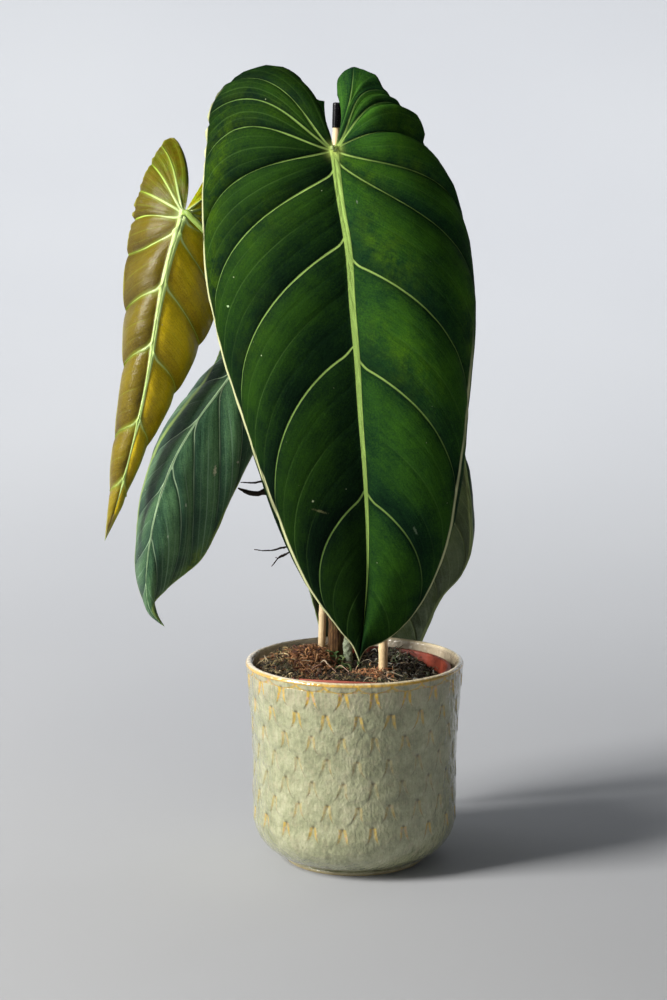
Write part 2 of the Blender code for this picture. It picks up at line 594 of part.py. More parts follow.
def stem(group, mat, stub_mat):
    """The climbing stem with a ring at each leaf node, and the cut stub beside it."""
    line = stem_line() * MM
    tube("stem", line[:, :3], line[:, 3], STEM_SIDES, group, mat)
    stub = smooth_line(STUB_PATH, STUB_STEPS) * MM
    tube("stem_stub", stub[:, :3], stub[:, 3], STEM_SIDES, group, stub_mat)


def petioles(group, mat):
    """Leaf stalks, tapering from the stem to the blade."""
    for name, (height, heading, path) in PETIOLES.items():
        seat, out = stem_seat(height, heading)
        line = np.vstack((seat, smooth_line((seat + out * SEAT_LEAD,) + path, PETIOLE_STEPS)))
        share = np.linspace(0.0, 1.0, len(line))
        end = np.clip((share - 0.85) / 0.15, 0.0, 1.0)
        radii = PETIOLE_RADIUS * (1.08 - 0.2 * share)
        radii = radii * (1.0 - end) + PETIOLE_END_RADIUS * end
        tube(name, line * MM, radii, PETIOLE_SIDES, group, mat)


def fused(name, pieces, group, mat):
    """Pieces joined into one closed body by Boolean unions."""
    body = applied(pieces[0], name, group, mat)
    extras = [applied(piece, f"{name}_{k}", group, mat) for k, piece in enumerate(pieces[1:])]
    for extra in extras:
        union = body.modifiers.new("join", "BOOLEAN")
        union.operation = "UNION"
        union.object = extra
    body = applied(body, name, group, mat)
    for extra in extras:
        bpy.data.objects.remove(extra)
    return body


def aerial_roots(group, mat):
    """Dark roots that leave the stem's nodes and reach out into the air."""
    for name, (height, heading, strands) in AERIAL_ROOTS.items():
        seat, out = stem_seat(height, heading)
        pieces = []
        for k, strand in enumerate(strands):
            if k == 0:
                lead = (*(seat + out * SEAT_LEAD), ROOT_START_RADIUS)
                line = smooth_line((lead,) + strand, ROOT_STEPS)
                line = np.vstack(((*seat, ROOT_START_RADIUS), line))
            else:
                line = smooth_line(strand, ROOT_STEPS)
            pieces.append(tube(f"{name}_strand_{k}", line[:, :3] * MM, line[:, 3] * MM,
                               ROOT_SIDES, group, mat))
        fused(name, pieces, group, mat)


def eased(values, places):
    """Values read between whole-number places by cubics that never overshoot."""
    v = np.array(values)
    d = np.diff(v)
    product = d[:-1] * d[1:]
    total = np.where(product > 0.0, d[:-1] + d[1:], 1.0)
    m = np.concatenate((d[:1], np.where(product > 0.0, 2.0 * product / total, 0.0), d[-1:]))
    i = np.clip(np.floor(places).astype(int), 0, len(v) - 2)
    s = places - i
    return ((2 * s**3 - 3 * s**2 + 1) * v[i] + (s**3 - 2 * s**2 + s) * m[i]
            + (3 * s**2 - 2 * s**3) * v[i + 1] + (s**3 - s**2) * m[i + 1])


def read_line(line, shares):
    """Points of an evenly spaced line at shares of its length."""
    places = np.linspace(0.0, 1.0, len(line))
    return np.stack([np.interp(shares, places, column) for column in line.T], axis=-1)


def half_blade(leaf, key, side):
    """Grid of points and swellings for one half of a blade.

    Rows follow the side veins from the midrib (first column) to the margin (last column): a
    point is the straight way between the two, bowed towards the leaf's base. Depth is the
    midrib's own plus fold and curl times the distance out. The swelling between two veins is
    half a sine wave, which fades out at the midrib and at the margin. Both halves share the
    first column, although their veins leave the midrib at different heights.
    """
    veins = leaf["veins"][key]
    half = leaf[key]
    count = len(veins["starts"]) - 1
    place = np.linspace(0.0, count, count * leaf["rows_per_vein"] + 1)
    start = eased(veins["starts"], place)
    along = eased(veins["ends"], place)
    bow = eased((half["notch"],) + veins["bows"][1:], place)[:, None, None]
    both = np.mean([eased(leaf["veins"][k]["starts"], place) for k in ("left", "right")], axis=0)

    rib = smooth_line(leaf["midrib"], 201)
    origin = read_line(rib, start)
    end = read_line(smooth_line(half["margin"], 401), along)
    way = end - origin[:, (0, 2)]
    normal = side * np.stack([-way[:, 1], way[:, 0]], axis=-1)
    t = np.array(BLADE_COLUMNS)[None, :, None]
    flat = (origin[:, None, (0, 2)] + way[:, None] * t
            + 4.0 * bow * t * (1.0 - t) * normal[:, None])

    t = t[..., 0]
    along = along[:, None]
    length = np.linalg.norm(way, axis=1)[:, None]
    curl = half["curl"] + half["lobe"] * np.clip(1.0 - along / LOBE_END, 0.0, 1.0)
    fade = np.sin(np.pi * along)
    wave = leaf["wave"] * t**3 * fade * np.sin(np.pi * leaf["wave_count"] * along + side)
    depth = origin[:, 1:2] + length * (half["fold"] * t + curl * t**2) + wave
    swell = np.abs(np.sin(np.pi * place))[:, None] * np.sin(np.pi * t**0.8) * fade**0.5
    points = np.stack([flat[..., 0], depth, flat[..., 1]], axis=-1)
    points[:, 0] = read_line(rib, both)
    return points, swell


def blade(name, leaf, group, mat):
    """A leaf blade: both halves laid out as one surface, swelled, then given its thickness."""
    verts = []
    faces = []
    swells = []
    weights = []
    for key, side in (("left", -1), ("right", 1)):
        points, swell = half_blade(leaf, key, side)
        rows, columns = swell.shape
        first = len(verts)
        verts += [tuple(p) for p in points.reshape(-1, 3)]
        swells += list(swell.ravel())
        weights += [1.0 if c == 0 else 0.0 for _ in range(rows) for c in range(columns)]
        turn = (side > 0) == leaf["upper_side_to_camera"]
        for r in range(rows - 1):
            for c in range(columns - 1):
                a = first + r * columns + c
                quad = (a, a + 1, a + columns + 1, a + columns)
                faces.append(quad[::-1] if turn else quad)
    mesh = bpy.data.meshes.new(name)
    mesh.from_pydata([Vector(v) * MM for v in verts], [], faces)
    normals = np.empty(3 * len(verts))
    mesh.vertices.foreach_get("normal", normals)
    places = np.array(verts) * MM
    places += np.nan_to_num(normals.reshape(-1, 3)) * (np.array(swells) * QUILT_HEIGHT)[:, None]
    mesh.vertices.foreach_set("co", places.ravel())

    obj = add_object(name, mesh, group, mat)
    rib = obj.vertex_groups.new(name="midrib")
    for index, weight in enumerate(weights):
        rib.add([index], weight, "REPLACE")
    bm = bmesh.new()
    bm.from_mesh(mesh)
    bmesh.ops.remove_doubles(bm, verts=bm.verts, dist=0.02 * MM)
    bmesh.ops.triangulate(bm, faces=bm.faces)
    bm.to_mesh(mesh)
    bm.free()
    obj.location = Vector(leaf["junction"]) * MM
    wall = obj.modifiers.new("thickness", "SOLIDIFY")
    wall.thickness = MIDRIB_THICKNESS
    wall.offset = 0.0
    wall.vertex_group = rib.name
    wall.thickness_vertex_group = LEAF_THICKNESS / MIDRIB_THICKNESS
    shade(mesh, 60.0)
    return obj


def clear_scene():
    """Remove what the scene starts with."""
    for obj in list(bpy.data.objects):
        bpy.data.objects.remove(obj)


def main():
    """Build every piece of the potted plant."""
    clear_scene()
    part = collection(PART_NAME)
    cutters = collection("cutters")
    glazed_pot(part, material("sage_glaze", (0.36, 0.38, 0.26), 0.2))
    nursery_pot(part, cutters, material("terracotta_plastic", (0.32, 0.07, 0.04), 0.5))
    soil(part, cutters, material("peat_and_moss", (0.035, 0.022, 0.014), 0.95))
    stakes(part, material("bamboo", (0.68, 0.48, 0.24), 0.5),
           material("black_cap", (0.01, 0.01, 0.012), 0.25))
    stem(part, material("stem_bark", (0.10, 0.05, 0.02), 0.8),
         material("old_stem", (0.16, 0.19, 0.13), 0.8))
    petioles(part, material("petiole_green", (0.22, 0.32, 0.08), 0.5))
    aerial_roots(part, material("aerial_root", (0.012, 0.008, 0.006), 0.7))
    for name, leaf in LEAVES.items():
        blade(name, leaf, part, material(f"{name}_green", leaf["shade"], 0.5))


main()
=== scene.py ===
"""Looks of a climbing philodendron in its pots: glaze, potting mix, moss, canes and veined leaves.

Lengths are in millimetres until a mesh is made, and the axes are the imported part's own: the
origin is the centre of the glazed pot's foot, +Z is up, and the largest leaf looks along -Y.
"""

import math

import bmesh
import bpy
import numpy as np
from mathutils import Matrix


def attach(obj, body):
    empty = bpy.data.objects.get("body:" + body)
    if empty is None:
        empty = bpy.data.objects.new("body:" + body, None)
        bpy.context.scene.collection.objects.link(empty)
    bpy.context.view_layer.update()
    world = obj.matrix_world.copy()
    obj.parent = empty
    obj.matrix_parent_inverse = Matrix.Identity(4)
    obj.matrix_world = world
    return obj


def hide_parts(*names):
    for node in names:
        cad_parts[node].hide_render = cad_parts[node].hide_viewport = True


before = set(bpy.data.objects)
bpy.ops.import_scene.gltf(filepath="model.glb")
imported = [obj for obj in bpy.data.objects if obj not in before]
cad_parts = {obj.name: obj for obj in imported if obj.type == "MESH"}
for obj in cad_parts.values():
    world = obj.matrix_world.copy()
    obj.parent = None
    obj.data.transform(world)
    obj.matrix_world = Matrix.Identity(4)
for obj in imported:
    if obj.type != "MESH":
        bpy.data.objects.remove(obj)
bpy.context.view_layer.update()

MM = 0.001
TURN = 2.0 * np.pi


# Lines and noise
def smooth_line(stations, count):
    """Evenly spaced points on a smooth curve through stations.

    Each span is a cubic whose end slopes come from the neighbouring stations, weighted by the
    lengths of the two spans, and the points are then spread evenly along the curve.
    """
    ends = np.array(stations, dtype=float)
    spans = np.linalg.norm(np.diff(ends, axis=0), axis=1)
    knots = np.concatenate(([0.0], np.cumsum(spans)))
    chords = np.diff(ends, axis=0) / spans[:, None]
    inner = chords[:-1] * spans[1:, None] + chords[1:] * spans[:-1, None]
    inner = inner / (spans[:-1] + spans[1:])[:, None]
    slopes = np.vstack((chords[:1], inner, chords[-1:]))
    fine = np.linspace(0.0, knots[-1], 40 * len(ends))
    i = np.clip(np.searchsorted(knots, fine, side="right") - 1, 0, len(spans) - 1)
    s = ((fine - knots[i]) / spans[i])[:, None]
    width = spans[i][:, None]
    curve = ((2 * s**3 - 3 * s**2 + 1) * ends[i] + (s**3 - 2 * s**2 + s) * width * slopes[i]
             + (3 * s**2 - 2 * s**3) * ends[i + 1] + (s**3 - s**2) * width * slopes[i + 1])
    length = np.concatenate(([0.0], np.cumsum(np.linalg.norm(np.diff(curve, axis=0), axis=1))))
    places = np.linspace(0.0, length[-1], count)
    return np.stack([np.interp(places, length, column) for column in curve.T], axis=-1)


def eased(values, places):
    """Values read between whole-number places by cubics that never overshoot, because a slope is
    the harmonic mean of the two steps beside it, and level where these turn."""
    ends = np.array(values)
    steps = np.diff(ends)
    product = steps[:-1] * steps[1:]
    total = np.where(product > 0.0, steps[:-1] + steps[1:], 1.0)
    inner = np.where(product > 0.0, 2.0 * product / total, 0.0)
    slopes = np.concatenate((steps[:1], inner, steps[-1:]))
    i = np.clip(np.floor(places).astype(int), 0, len(ends) - 2)
    s = places - i
    return ((2 * s**3 - 3 * s**2 + 1) * ends[i] + (s**3 - 2 * s**2 + s) * slopes[i]
            + (3 * s**2 - 2 * s**3) * ends[i + 1] + (s**3 - s**2) * slopes[i + 1])


def read_line(line, shares):
    """Points of an evenly spaced line at shares of its length."""
    places = np.linspace(0.0, 1.0, len(line))
    return np.stack([np.interp(shares, places, column) for column in line.T], axis=-1)


def unit(v):
    """Vectors at length 1, and no length where they have none."""
    length = np.linalg.norm(v, axis=-1, keepdims=True)
    return v / np.where(length > 1e-9, length, 1.0)


def step(low, high, value):
    """0 below low, 1 above high, and a smooth S between."""
    s = np.clip((value - low) / (high - low), 0.0, 1.0)
    return s * s * (3.0 - 2.0 * s)


def ripple(points, size, seed, waves=16):
    """Soft noise, mostly from -1.5 to 1.5: a sum of sine waves of about that wavelength in mm,
    each with its own direction and phase, read at every point."""
    rng = np.random.default_rng(seed)
    ways = unit(rng.normal(size=(waves, points.shape[-1])))
    ways *= (TURN / size * rng.uniform(0.6, 1.7, waves))[:, None]
    return np.sin(points @ ways.T + rng.uniform(0.0, TURN, waves)).sum(-1) / waves**0.5


def around(radius, angle, height, centre=(0.0, 0.0)):
    """Points at a radius and an angle round an upright axis, at a height."""
    places = np.broadcast_arrays(centre[0] + radius * np.cos(angle),
                                 centre[1] + radius * np.sin(angle), height)
    return np.stack(places, axis=-1)


def grid_faces(rows, columns, wrap=False):
    """Quads of a grid laid out row by row. wrap joins the last column to the first."""
    i = np.arange(rows - 1)[:, None]
    j = np.arange(columns if wrap else columns - 1)[None]
    k = (j + 1) % columns
    corners = (i * columns + j, i * columns + k, (i + 1) * columns + k, (i + 1) * columns + j)
    return np.stack(corners, axis=-1).reshape(-1, 4)


def add_piece(name, points, faces, finish, stands_for, values=None, sharp=50.0, weld=0.01):
    """A closed piece from points in mm, with named values for each point.

    Points closer than weld are merged, faces are turned outwards, and the piece rides on the
    part, stands for the nodes given and takes the finish given.
    """
    mesh = bpy.data.meshes.new(name)
    mesh.from_pydata(points.reshape(-1, 3) * MM, [], faces)
    for key, value in (values or {}).items():
        flat = value.ndim == points.ndim - 1
        layer = mesh.attributes.new(key, "FLOAT" if flat else "FLOAT_VECTOR", "POINT")
        layer.data.foreach_set("value" if flat else "vector", value.astype(np.float32).ravel())
    bm = bmesh.new()
    bm.from_mesh(mesh)
    if weld:
        bmesh.ops.remove_doubles(bm, verts=bm.verts, dist=weld * MM)
    bmesh.ops.recalc_face_normals(bm, faces=bm.faces)
    bm.to_mesh(mesh)
    bm.free()
    mesh.shade_smooth()
    mesh.set_sharp_from_angle(angle=math.radians(sharp))
    mesh.materials.append(finish)
    piece = bpy.data.objects.new(name, mesh)
    bpy.context.scene.collection.objects.link(piece)
    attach(piece, "root")
    if stands_for:
        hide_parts(*stands_for)


# Finishes
class Finish:
    """A Principled material under construction, with short calls for the nodes that feed it."""

    def __init__(self, name, **sockets):
        """A material of that name, with the shader's inputs set."""
        self.material = bpy.data.materials.new(name)
        self.material.use_nodes = True
        self.tree = self.material.node_tree
        self.shader = self.tree.nodes["Principled BSDF"]
        for key, value in sockets.items():
            self.shader.inputs[key.replace("_", " ")].default_value = value

    def node(self, kind, inputs=None, **settings):
        """A node with its settings, and inputs that are values or other nodes' outputs."""
        made = self.tree.nodes.new("ShaderNode" + kind)
        for key, value in settings.items():
            setattr(made, key, value)
        for key, value in (inputs or {}).items():
            if isinstance(value, bpy.types.NodeSocket):
                self.tree.links.new(value, made.inputs[key])
            else:
                made.inputs[key].default_value = value
        return made

    def place(self, scale=(1.0, 1.0, 1.0), turn=(0.0, 0.0, 0.0)):
        """Object coordinates in mm, stretched by scale and turned."""
        here = self.node("TexCoord").outputs["Object"]
        scale = tuple(s / MM for s in scale)
        return self.node("Mapping", {"Vector": here, "Scale": scale, "Rotation": turn}).outputs[0]

    def value(self, key, scale=None):
        """A value that the mesh carries for each point, or a vector of three, stretched."""
        kept = self.node("Attribute", attribute_name=key)
        if scale is None:
            return kept.outputs["Fac"]
        return self.node("Mapping", {"Vector": kept.outputs["Vector"], "Scale": scale}).outputs[0]

    def noise(self, where, size, detail=4.0, rough=0.55, low=0.3, high=0.7):
        """Noise with features of that size in mm, spread from low..high to 0..1."""
        made = self.node("TexNoise", {"Vector": where, "Scale": 1.0 / size, "Detail": detail,
                                      "Roughness": rough})
        return self.spread(made.outputs["Fac"], low, high)

    def spread(self, value, low, high, to_low=0.0, to_high=1.0):
        """value's range low..high laid onto another range, and held at its ends."""
        ends = {"Value": value, "From Min": low, "From Max": high, "To Min": to_low,
                "To Max": to_high}
        return self.node("MapRange", ends).outputs["Result"]

    def math(self, operation, a, b=0.0):
        """One operation on two values."""
        return self.node("Math", {0: a, 1: b}, operation=operation).outputs[0]

    def times(self, first, *others):
        """The product of values."""
        for other in others:
            first = self.math("MULTIPLY", first, other)
        return first

    def plus(self, first, *others):
        """The sum of values."""
        for other in others:
            first = self.math("ADD", first, other)
        return first

    def mix(self, share, a, b, way="MIX"):
        """Colour b over colour a by a share."""
        ends = {0: share}
        for key, colour in ((6, a), (7, b)):
            ends[key] = colour if isinstance(colour, bpy.types.NodeSocket) else (*colour, 1.0)
        return self.node("Mix", ends, data_type="RGBA", blend_type=way).outputs[2]

    def ramp(self, value, stops):
        """Colours laid along a value from 0 to 1."""
        made = self.node("ValToRGB", {0: value})
        points = made.color_ramp.elements
        points[0].position, points[0].color = stops[0][0], (*stops[0][1], 1.0)
        points[1].position, points[1].color = stops[-1][0], (*stops[-1][1], 1.0)
        for where, colour in stops[1:-1]:
            points.new(where).color = (*colour, 1.0)
        return made.outputs["Color"]

    def relief(self, height, depth):
        """Fine relief of a depth in mm, laid over what relief there is."""
        made = self.node("Bump", {"Height": height, "Distance": depth * MM})
        if self.shader.inputs["Normal"].is_linked:
            before = self.shader.inputs["Normal"].links[0].from_socket
            self.tree.links.new(before, made.inputs["Normal"])
        self.tree.links.new(made.outputs[0], self.shader.inputs["Normal"])
        self.tree.links.new(made.outputs[0], self.shader.inputs["Coat Normal"])

    def mark(self, centre, size, turn):
        """1 within a ragged oval of that length and height in mm, turned in degrees, round a
        point given by its x and z in mm, and 0 elsewhere."""
        spot = self.node("Mapping", {
            "Vector": self.node("TexCoord").outputs["Object"],
            "Location": (centre[0] * MM, 0.0, centre[1] * MM),
            "Rotation": (0.0, -math.radians(turn), 0.0),
            "Scale": (0.5 * size[0] * MM, 1.0, 0.5 * size[1] * MM)}, vector_type="TEXTURE")
        far = self.node("VectorMath", {0: spot.outputs[0]}, operation="LENGTH").outputs["Value"]
        ragged = self.noise(self.place(), 1.3, 3.0, 0.7, 0.3, 0.7)
        return self.spread(self.plus(far, self.times(ragged, 0.7)), 1.25, 0.75)

    def paint(self, colour):
        """The surface's colour."""
        self.tree.links.new(colour, self.shader.inputs["Base Color"])

    def roughen(self, value):
        """The surface's roughness."""
        self.tree.links.new(value, self.shader.inputs["Roughness"])


def leaf_finish(name, upper, under, **sockets):
    """Leaf skin: streaks that run with the side veins, panels with painted light and shade, lighter
    just below a side vein and darker above the next, painted shade along the sunk veins of the
    upper face, patches of paler tone and painted light, pale veins and margin. upper and under are
    the two faces' colours, as LEAF_COLOURS lists them."""
    f = Finish(name, **sockets)
    lay = f.value("lay", (0.09, 0.8, 1.0))
    here = f.place()
    streak = f.noise(lay, 1.0, 5.0, 0.62, 0.30, 0.70)
    cloud = f.noise(here, 24.0, 4.0, 0.6, 0.36, 0.64)
    grain = f.noise(here, 1.1, 3.0, 0.75, 0.3, 0.7)
    out = f.value("out")
    dim = f.value("dim")
    # the crest value is painted light and shade on each panel
    tone = f.plus(f.times(streak, 0.15), f.times(cloud, 0.22), f.times(f.value("painted_crest_light"), 0.44),
                  f.times(grain, 0.32))
    patch = f.times(f.noise(here, 11.0, 8.0, 0.72, 0.40, 0.64), f.spread(grain, 0.0, 1.0, 0.55))
    # a patch partly of the leaf's own paler tone and partly painted light falling on and through it
    tint_and_painted_light = f.times(f.value("tint_and_painted_light"), patch, f.spread(streak, 0.0, 1.0, 0.5))
    near = f.times(f.math("POWER", f.spread(out, 0.0, 1.0, 1.0, 0.0), 1.1),
                   f.spread(dim, 0.0, 1.0, 1.0, 0.55))
    vein = f.times(f.spread(f.value("vein_off"), 1.45, 0.55),
                   f.spread(f.value("rim_off"), 0.0, 5.0))
    # painted shade: on the upper face the halo darkens the valleys where the side veins are sunk;
    # on the lower face it is a tint of vein colour
    halo = f.times(f.spread(f.value("vein_off"), 4.5, 0.5), 0.30)
    midway = f.times(f.spread(f.value("mid_off"), 0.62, 0.10), f.spread(out, 0.1, 0.3))
    quarter = f.times(f.spread(f.value("quarter_off"), 0.55, 0.10), f.spread(out, 0.2, 0.5))
    fine = f.times(f.math("MAXIMUM", midway, f.times(quarter, 0.5)),
                   f.spread(f.value("edge_off"), 0.0, 6.0))
    rib = f.spread(f.value("rib_off"), 1.08, 0.86)
    rim = f.times(f.spread(f.value("rim_off"), 1.1, 0.4), f.value("hem"))
    stalk_grain = f.noise(lay, 0.5, 2.0, 0.5)
    sides = []
    for face in (upper, under):
        body = f.ramp(tone, [(0.14, face["dark"]), (0.48, face["mid"]), (0.92, face["light"])])
        body = f.mix(tint_and_painted_light, body, face["tint_and_painted_light"])
        # the gain multiplies the colour: painted light and shade for each half of the blade
        if "painted_light_gain" in face:
            body = f.mix(1.0, body, f.value("painted_light_gain"), "MULTIPLY")
        # painted shade round the sunk veins on the upper face, vein colour round them on the lower
        # face
        body = f.mix(halo, body, face["dark"] if face is upper else face["vein"])
        body = f.mix(f.times(fine, face["fine_share"]), body, face["vein"])
        line = f.mix(near, face["vein"], face["rib"])
        share = f.times(f.spread(out, 0.0, 1.0, 1.0, face["vein_share"]),
                        f.spread(dim, 0.0, 1.0, 1.0, 0.62))
        body = f.mix(f.times(vein, share), body, line)
        body = f.mix(f.times(rim, face["edge_share"]), body, face["edge"])
        body = f.mix(rib, body, f.mix(stalk_grain, face["rib"], face["rib_dark"]))
        # the heart is the junction's pale colour, painted brighter still as painted light where it
        # lies in shade
        sides.append(f.mix(f.value("heart"), body, face.get("heart", face["rib"])))
    skin = f.mix(f.value("upper"), sides[1], sides[0])
    for mark in upper.get("marks", ()):
        skin = f.mix(f.mark(*mark[:3]), skin, mark[3])
    speck = f.noise(here, 2.6, 1.0, 0.5, upper.get("speck", 0.80), 0.86)
    f.paint(f.mix(speck, skin, upper["fleck"]))
    pleat = upper.get("pleat", 0.3)
    f.relief(f.spread(f.value("mid_off"), 0.0, 3.2), pleat)
    f.relief(f.spread(f.value("quarter_off"), 0.0, 2.4), 0.6 * pleat)
    f.relief(f.noise(lay, 0.55, 3.0, 0.6, 0.25, 0.75), 0.14)
    f.relief(grain, 0.07)
    return f.material


def glaze_finish():
    """Mottled sage glaze: blotches, drips and specks, ochre where it thins on the raised lines,
    dark where it pools, a beige inner wall painted paler at the back left as painted light, a cream
    lip and a bare foot ring."""
    f = Finish("sage_glaze", Roughness=0.17, Coat_Weight=0.8, Coat_Roughness=0.05,
               Specular_IOR_Level=0.5)
    here = f.place()
    blotch = f.noise(here, 11.0, 5.0, 0.6, 0.33, 0.67)
    mottle = f.noise(here, 2.2, 3.0, 0.55, 0.30, 0.70)
    drip = f.noise(f.place((1.0, 1.0, 0.10)), 1.3, 3.0, 0.6, 0.36, 0.66)
    tone = f.plus(f.times(blotch, 0.58), f.times(mottle, 0.20), f.times(drip, 0.18))
    sage = f.ramp(tone, [(0.1, (0.22, 0.23, 0.125)), (0.45, (0.32, 0.335, 0.19)),
                         (0.7, (0.40, 0.405, 0.245)), (1.0, (0.50, 0.49, 0.32))])
    sage = f.mix(f.times(drip, f.value("drips"), 0.45), sage, (0.44, 0.36, 0.25))
    blush = f.noise(here, 5.0, 3.0, 0.6, 0.5, 0.8)
    sage = f.mix(f.times(blush, 0.35), sage, (0.46, 0.37, 0.25))
    brown = f.noise(here, 0.75, 2.0, 0.6, 0.66, 0.74)
    sage = f.mix(f.times(brown, 0.75), sage, (0.11, 0.08, 0.03))
    cream = f.noise(f.place(turn=(0.4, 0.9, 0.2)), 1.1, 2.0, 0.7, 0.66, 0.74)
    sage = f.mix(f.times(cream, 0.5), sage, (0.62, 0.60, 0.43))
    broken = f.noise(here, 2.2, 4.0, 0.7, 0.34, 0.6)
    off = f.math("ABSOLUTE", f.value("line"))
    stroke = f.spread(f.math("DIVIDE", off, f.value("girth")), 1.0, 0.5)
    pool = f.times(f.spread(off, 0.75, 0.15), f.value("groove"), broken)
    pool = f.math("MAXIMUM", pool, f.value("end"))
    sage = f.mix(f.times(pool, 0.85), sage, (0.085, 0.06, 0.022))
    gold = f.times(f.value("gold"), stroke, f.spread(broken, 0.0, 0.8, 0.45, 1.1))
    ochre = f.mix(f.noise(here, 3.5, 2.0, 0.5, 0.50, 0.66), (0.56, 0.36, 0.03),
                  (0.52, 0.32, 0.17))
    sage = f.mix(gold, sage, ochre)
    inner = f.ramp(f.noise(here, 22.0, 4.0, 0.6, 0.3, 0.7),
                   [(0.0, (0.38, 0.32, 0.22)), (1.0, (0.50, 0.42, 0.30))])
    # painted light: the inner wall is painted paler at the back left, where the lamp does not reach
    # it
    inner = f.mix(f.value("pale"), inner, (0.86, 0.76, 0.58))
    inner = f.mix(f.times(f.noise(here, 0.9, 1.0, 0.5, 0.74, 0.78), 0.8), inner,
                  (0.08, 0.06, 0.03))
    skin = f.mix(f.value("inside"), sage, inner)
    skin = f.mix(f.times(f.value("rim_ochre"), f.spread(broken, 0.0, 1.0, 0.55)), skin,
                 (0.62, 0.36, 0.045))
    skin = f.mix(f.value("lip"), skin, (0.80, 0.68, 0.46))
    foot = f.mix(blotch, (0.34, 0.27, 0.13), (0.48, 0.40, 0.22))
    f.paint(f.mix(f.value("foot"), skin, foot))
    f.relief(f.noise(f.place((1.0, 1.0, 0.7)), 3.6, 2.0, 0.5, 0.2, 0.8), 0.60)
    f.relief(f.noise(here, 1.6, 1.0, 0.5, 0.25, 0.75), 0.09)
    f.relief(f.times(f.spread(off, 0.7, 0.0), f.value("groove")), -0.10)
    f.relief(brown, 0.05)
    return f.material


def plastic_finish():
    """Terracotta-red moulded plastic with fine turning lines and crumbs of soil."""
    f = Finish("terracotta_plastic", Roughness=0.45)
    here = f.place()
    tone = f.ramp(f.noise(here, 14.0, 4.0, 0.6), [(0.0, (0.14, 0.022, 0.010)),
                                                  (1.0, (0.24, 0.042, 0.020))])
    crumbs = f.noise(here, 2.2, 4.0, 0.75, 0.60, 0.66)
    f.paint(f.mix(f.times(crumbs, 0.85), tone, (0.04, 0.022, 0.014)))
    f.relief(f.noise(f.place((0.02, 0.02, 1.0)), 0.7, 2.0), 0.08)
    f.relief(crumbs, 0.35)
    return f.material


def earth_finish():
    """Dark peat with brown bark dust and a few grey grains."""
    f = Finish("peat_and_moss", Roughness=0.95, Specular_IOR_Level=0.15)
    here = f.place()
    tone = f.ramp(f.noise(here, 2.4, 6.0, 0.75, 0.3, 0.7),
                  [(0.0, (0.004, 0.003, 0.002)), (0.5, (0.014, 0.009, 0.006)),
                   (1.0, (0.050, 0.030, 0.018))])
    f.paint(f.mix(f.noise(here, 1.1, 2.0, 0.6, 0.66, 0.72), tone, (0.16, 0.13, 0.10)))
    f.relief(f.noise(here, 1.5, 6.0, 0.8, 0.2, 0.8), 1.2)
    return f.material


def tinted_finish(name, dull, size, depth, **sockets):
    """A finish whose colour is the piece's own tint, dulled in patches of that size in mm."""
    f = Finish(name, **sockets)
    here = f.place()
    tint = f.node("Attribute", attribute_name="tint").outputs["Color"]
    f.paint(f.mix(f.noise(here, size, 4.0, 0.7, 0.35, 0.75), tint, dull, "MULTIPLY"))
    f.relief(f.noise(here, size * 0.5, 3.0), depth)
    return f.material


def cane_finish():
    """Split bamboo: long fibres, a few dark streaks, and a stained foot near the soil."""
    f = Finish("bamboo", Roughness=0.42, Specular_IOR_Level=0.4)
    long = f.value("grain", (1.6, 0.035, 1.0))
    tone = f.ramp(f.noise(long, 1.0, 5.0, 0.65, 0.28, 0.72),
                  [(0.0, (0.60, 0.40, 0.18)), (0.45, (0.84, 0.63, 0.35)),
                   (1.0, (0.93, 0.77, 0.49))])
    tone = f.mix(f.noise(f.value("grain", (1.2, 0.02, 1.0)), 0.8, 2.0, 0.5, 0.66, 0.8), tone,
                 (0.33, 0.18, 0.07))
    stain = f.times(f.value("stain"), f.noise(f.place(), 2.5, 4.0, 0.7, 0.3, 0.6))
    f.paint(f.mix(stain, tone, (0.20, 0.10, 0.035)))
    f.relief(f.noise(long, 0.7, 3.0), 0.08)
    return f.material


def cap_finish():
    """Glossy black plastic with faint handling marks."""
    f = Finish("black_cap", Roughness=0.2, Specular_IOR_Level=0.12, Coat_Weight=0.15,
               Coat_Roughness=0.06)
    marks = f.noise(f.place(), 2.0, 4.0, 0.6)
    f.paint(f.mix(marks, (0.003, 0.003, 0.004), (0.006, 0.006, 0.008)))
    f.roughen(f.spread(marks, 0.0, 1.0, 0.16, 0.24))
    return f.material


def stem_finish():
    """Climbing stem: green above, papery brown where it has hardened, with long cracks."""
    f = Finish("stem_bark", Roughness=0.7, Specular_IOR_Level=0.25)
    long = f.value("grain", (1.0, 0.10, 1.0))
    fibre = f.noise(long, 0.9, 5.0, 0.7, 0.3, 0.7)
    brown = f.ramp(fibre, [(0.0, (0.020, 0.010, 0.005)), (0.5, (0.085, 0.040, 0.014)),
                           (1.0, (0.24, 0.13, 0.045))])
    green = f.ramp(f.noise(long, 1.6, 4.0, 0.6), [(0.0, (0.050, 0.090, 0.018)),
                                                  (1.0, (0.13, 0.19, 0.045))])
    patch = f.noise(f.place((1.0, 1.0, 0.5)), 7.0, 4.0, 0.6, 0.4, 0.6)
    hard = f.spread(f.times(f.value("hard"), f.spread(patch, 0.0, 1.0, 0.55, 1.35)), 0.25, 0.6)
    f.paint(f.mix(hard, green, brown))
    f.relief(fibre, 0.45)
    return f.material


def stub_finish():
    """Old cut stem: grey-green skin with pale scabs and a dry end."""
    f = Finish("old_stem", Roughness=0.85)
    here = f.place()
    tone = f.ramp(f.noise(here, 2.6, 5.0, 0.7), [(0.0, (0.13, 0.16, 0.09)),
                                                 (0.6, (0.30, 0.35, 0.23)),
                                                 (1.0, (0.50, 0.52, 0.40))])
    f.paint(f.mix(f.noise(here, 1.2, 3.0, 0.6, 0.62, 0.7), tone, (0.05, 0.04, 0.025)))
    f.relief(f.noise(here, 1.3, 5.0, 0.7), 0.5)
    return f.material


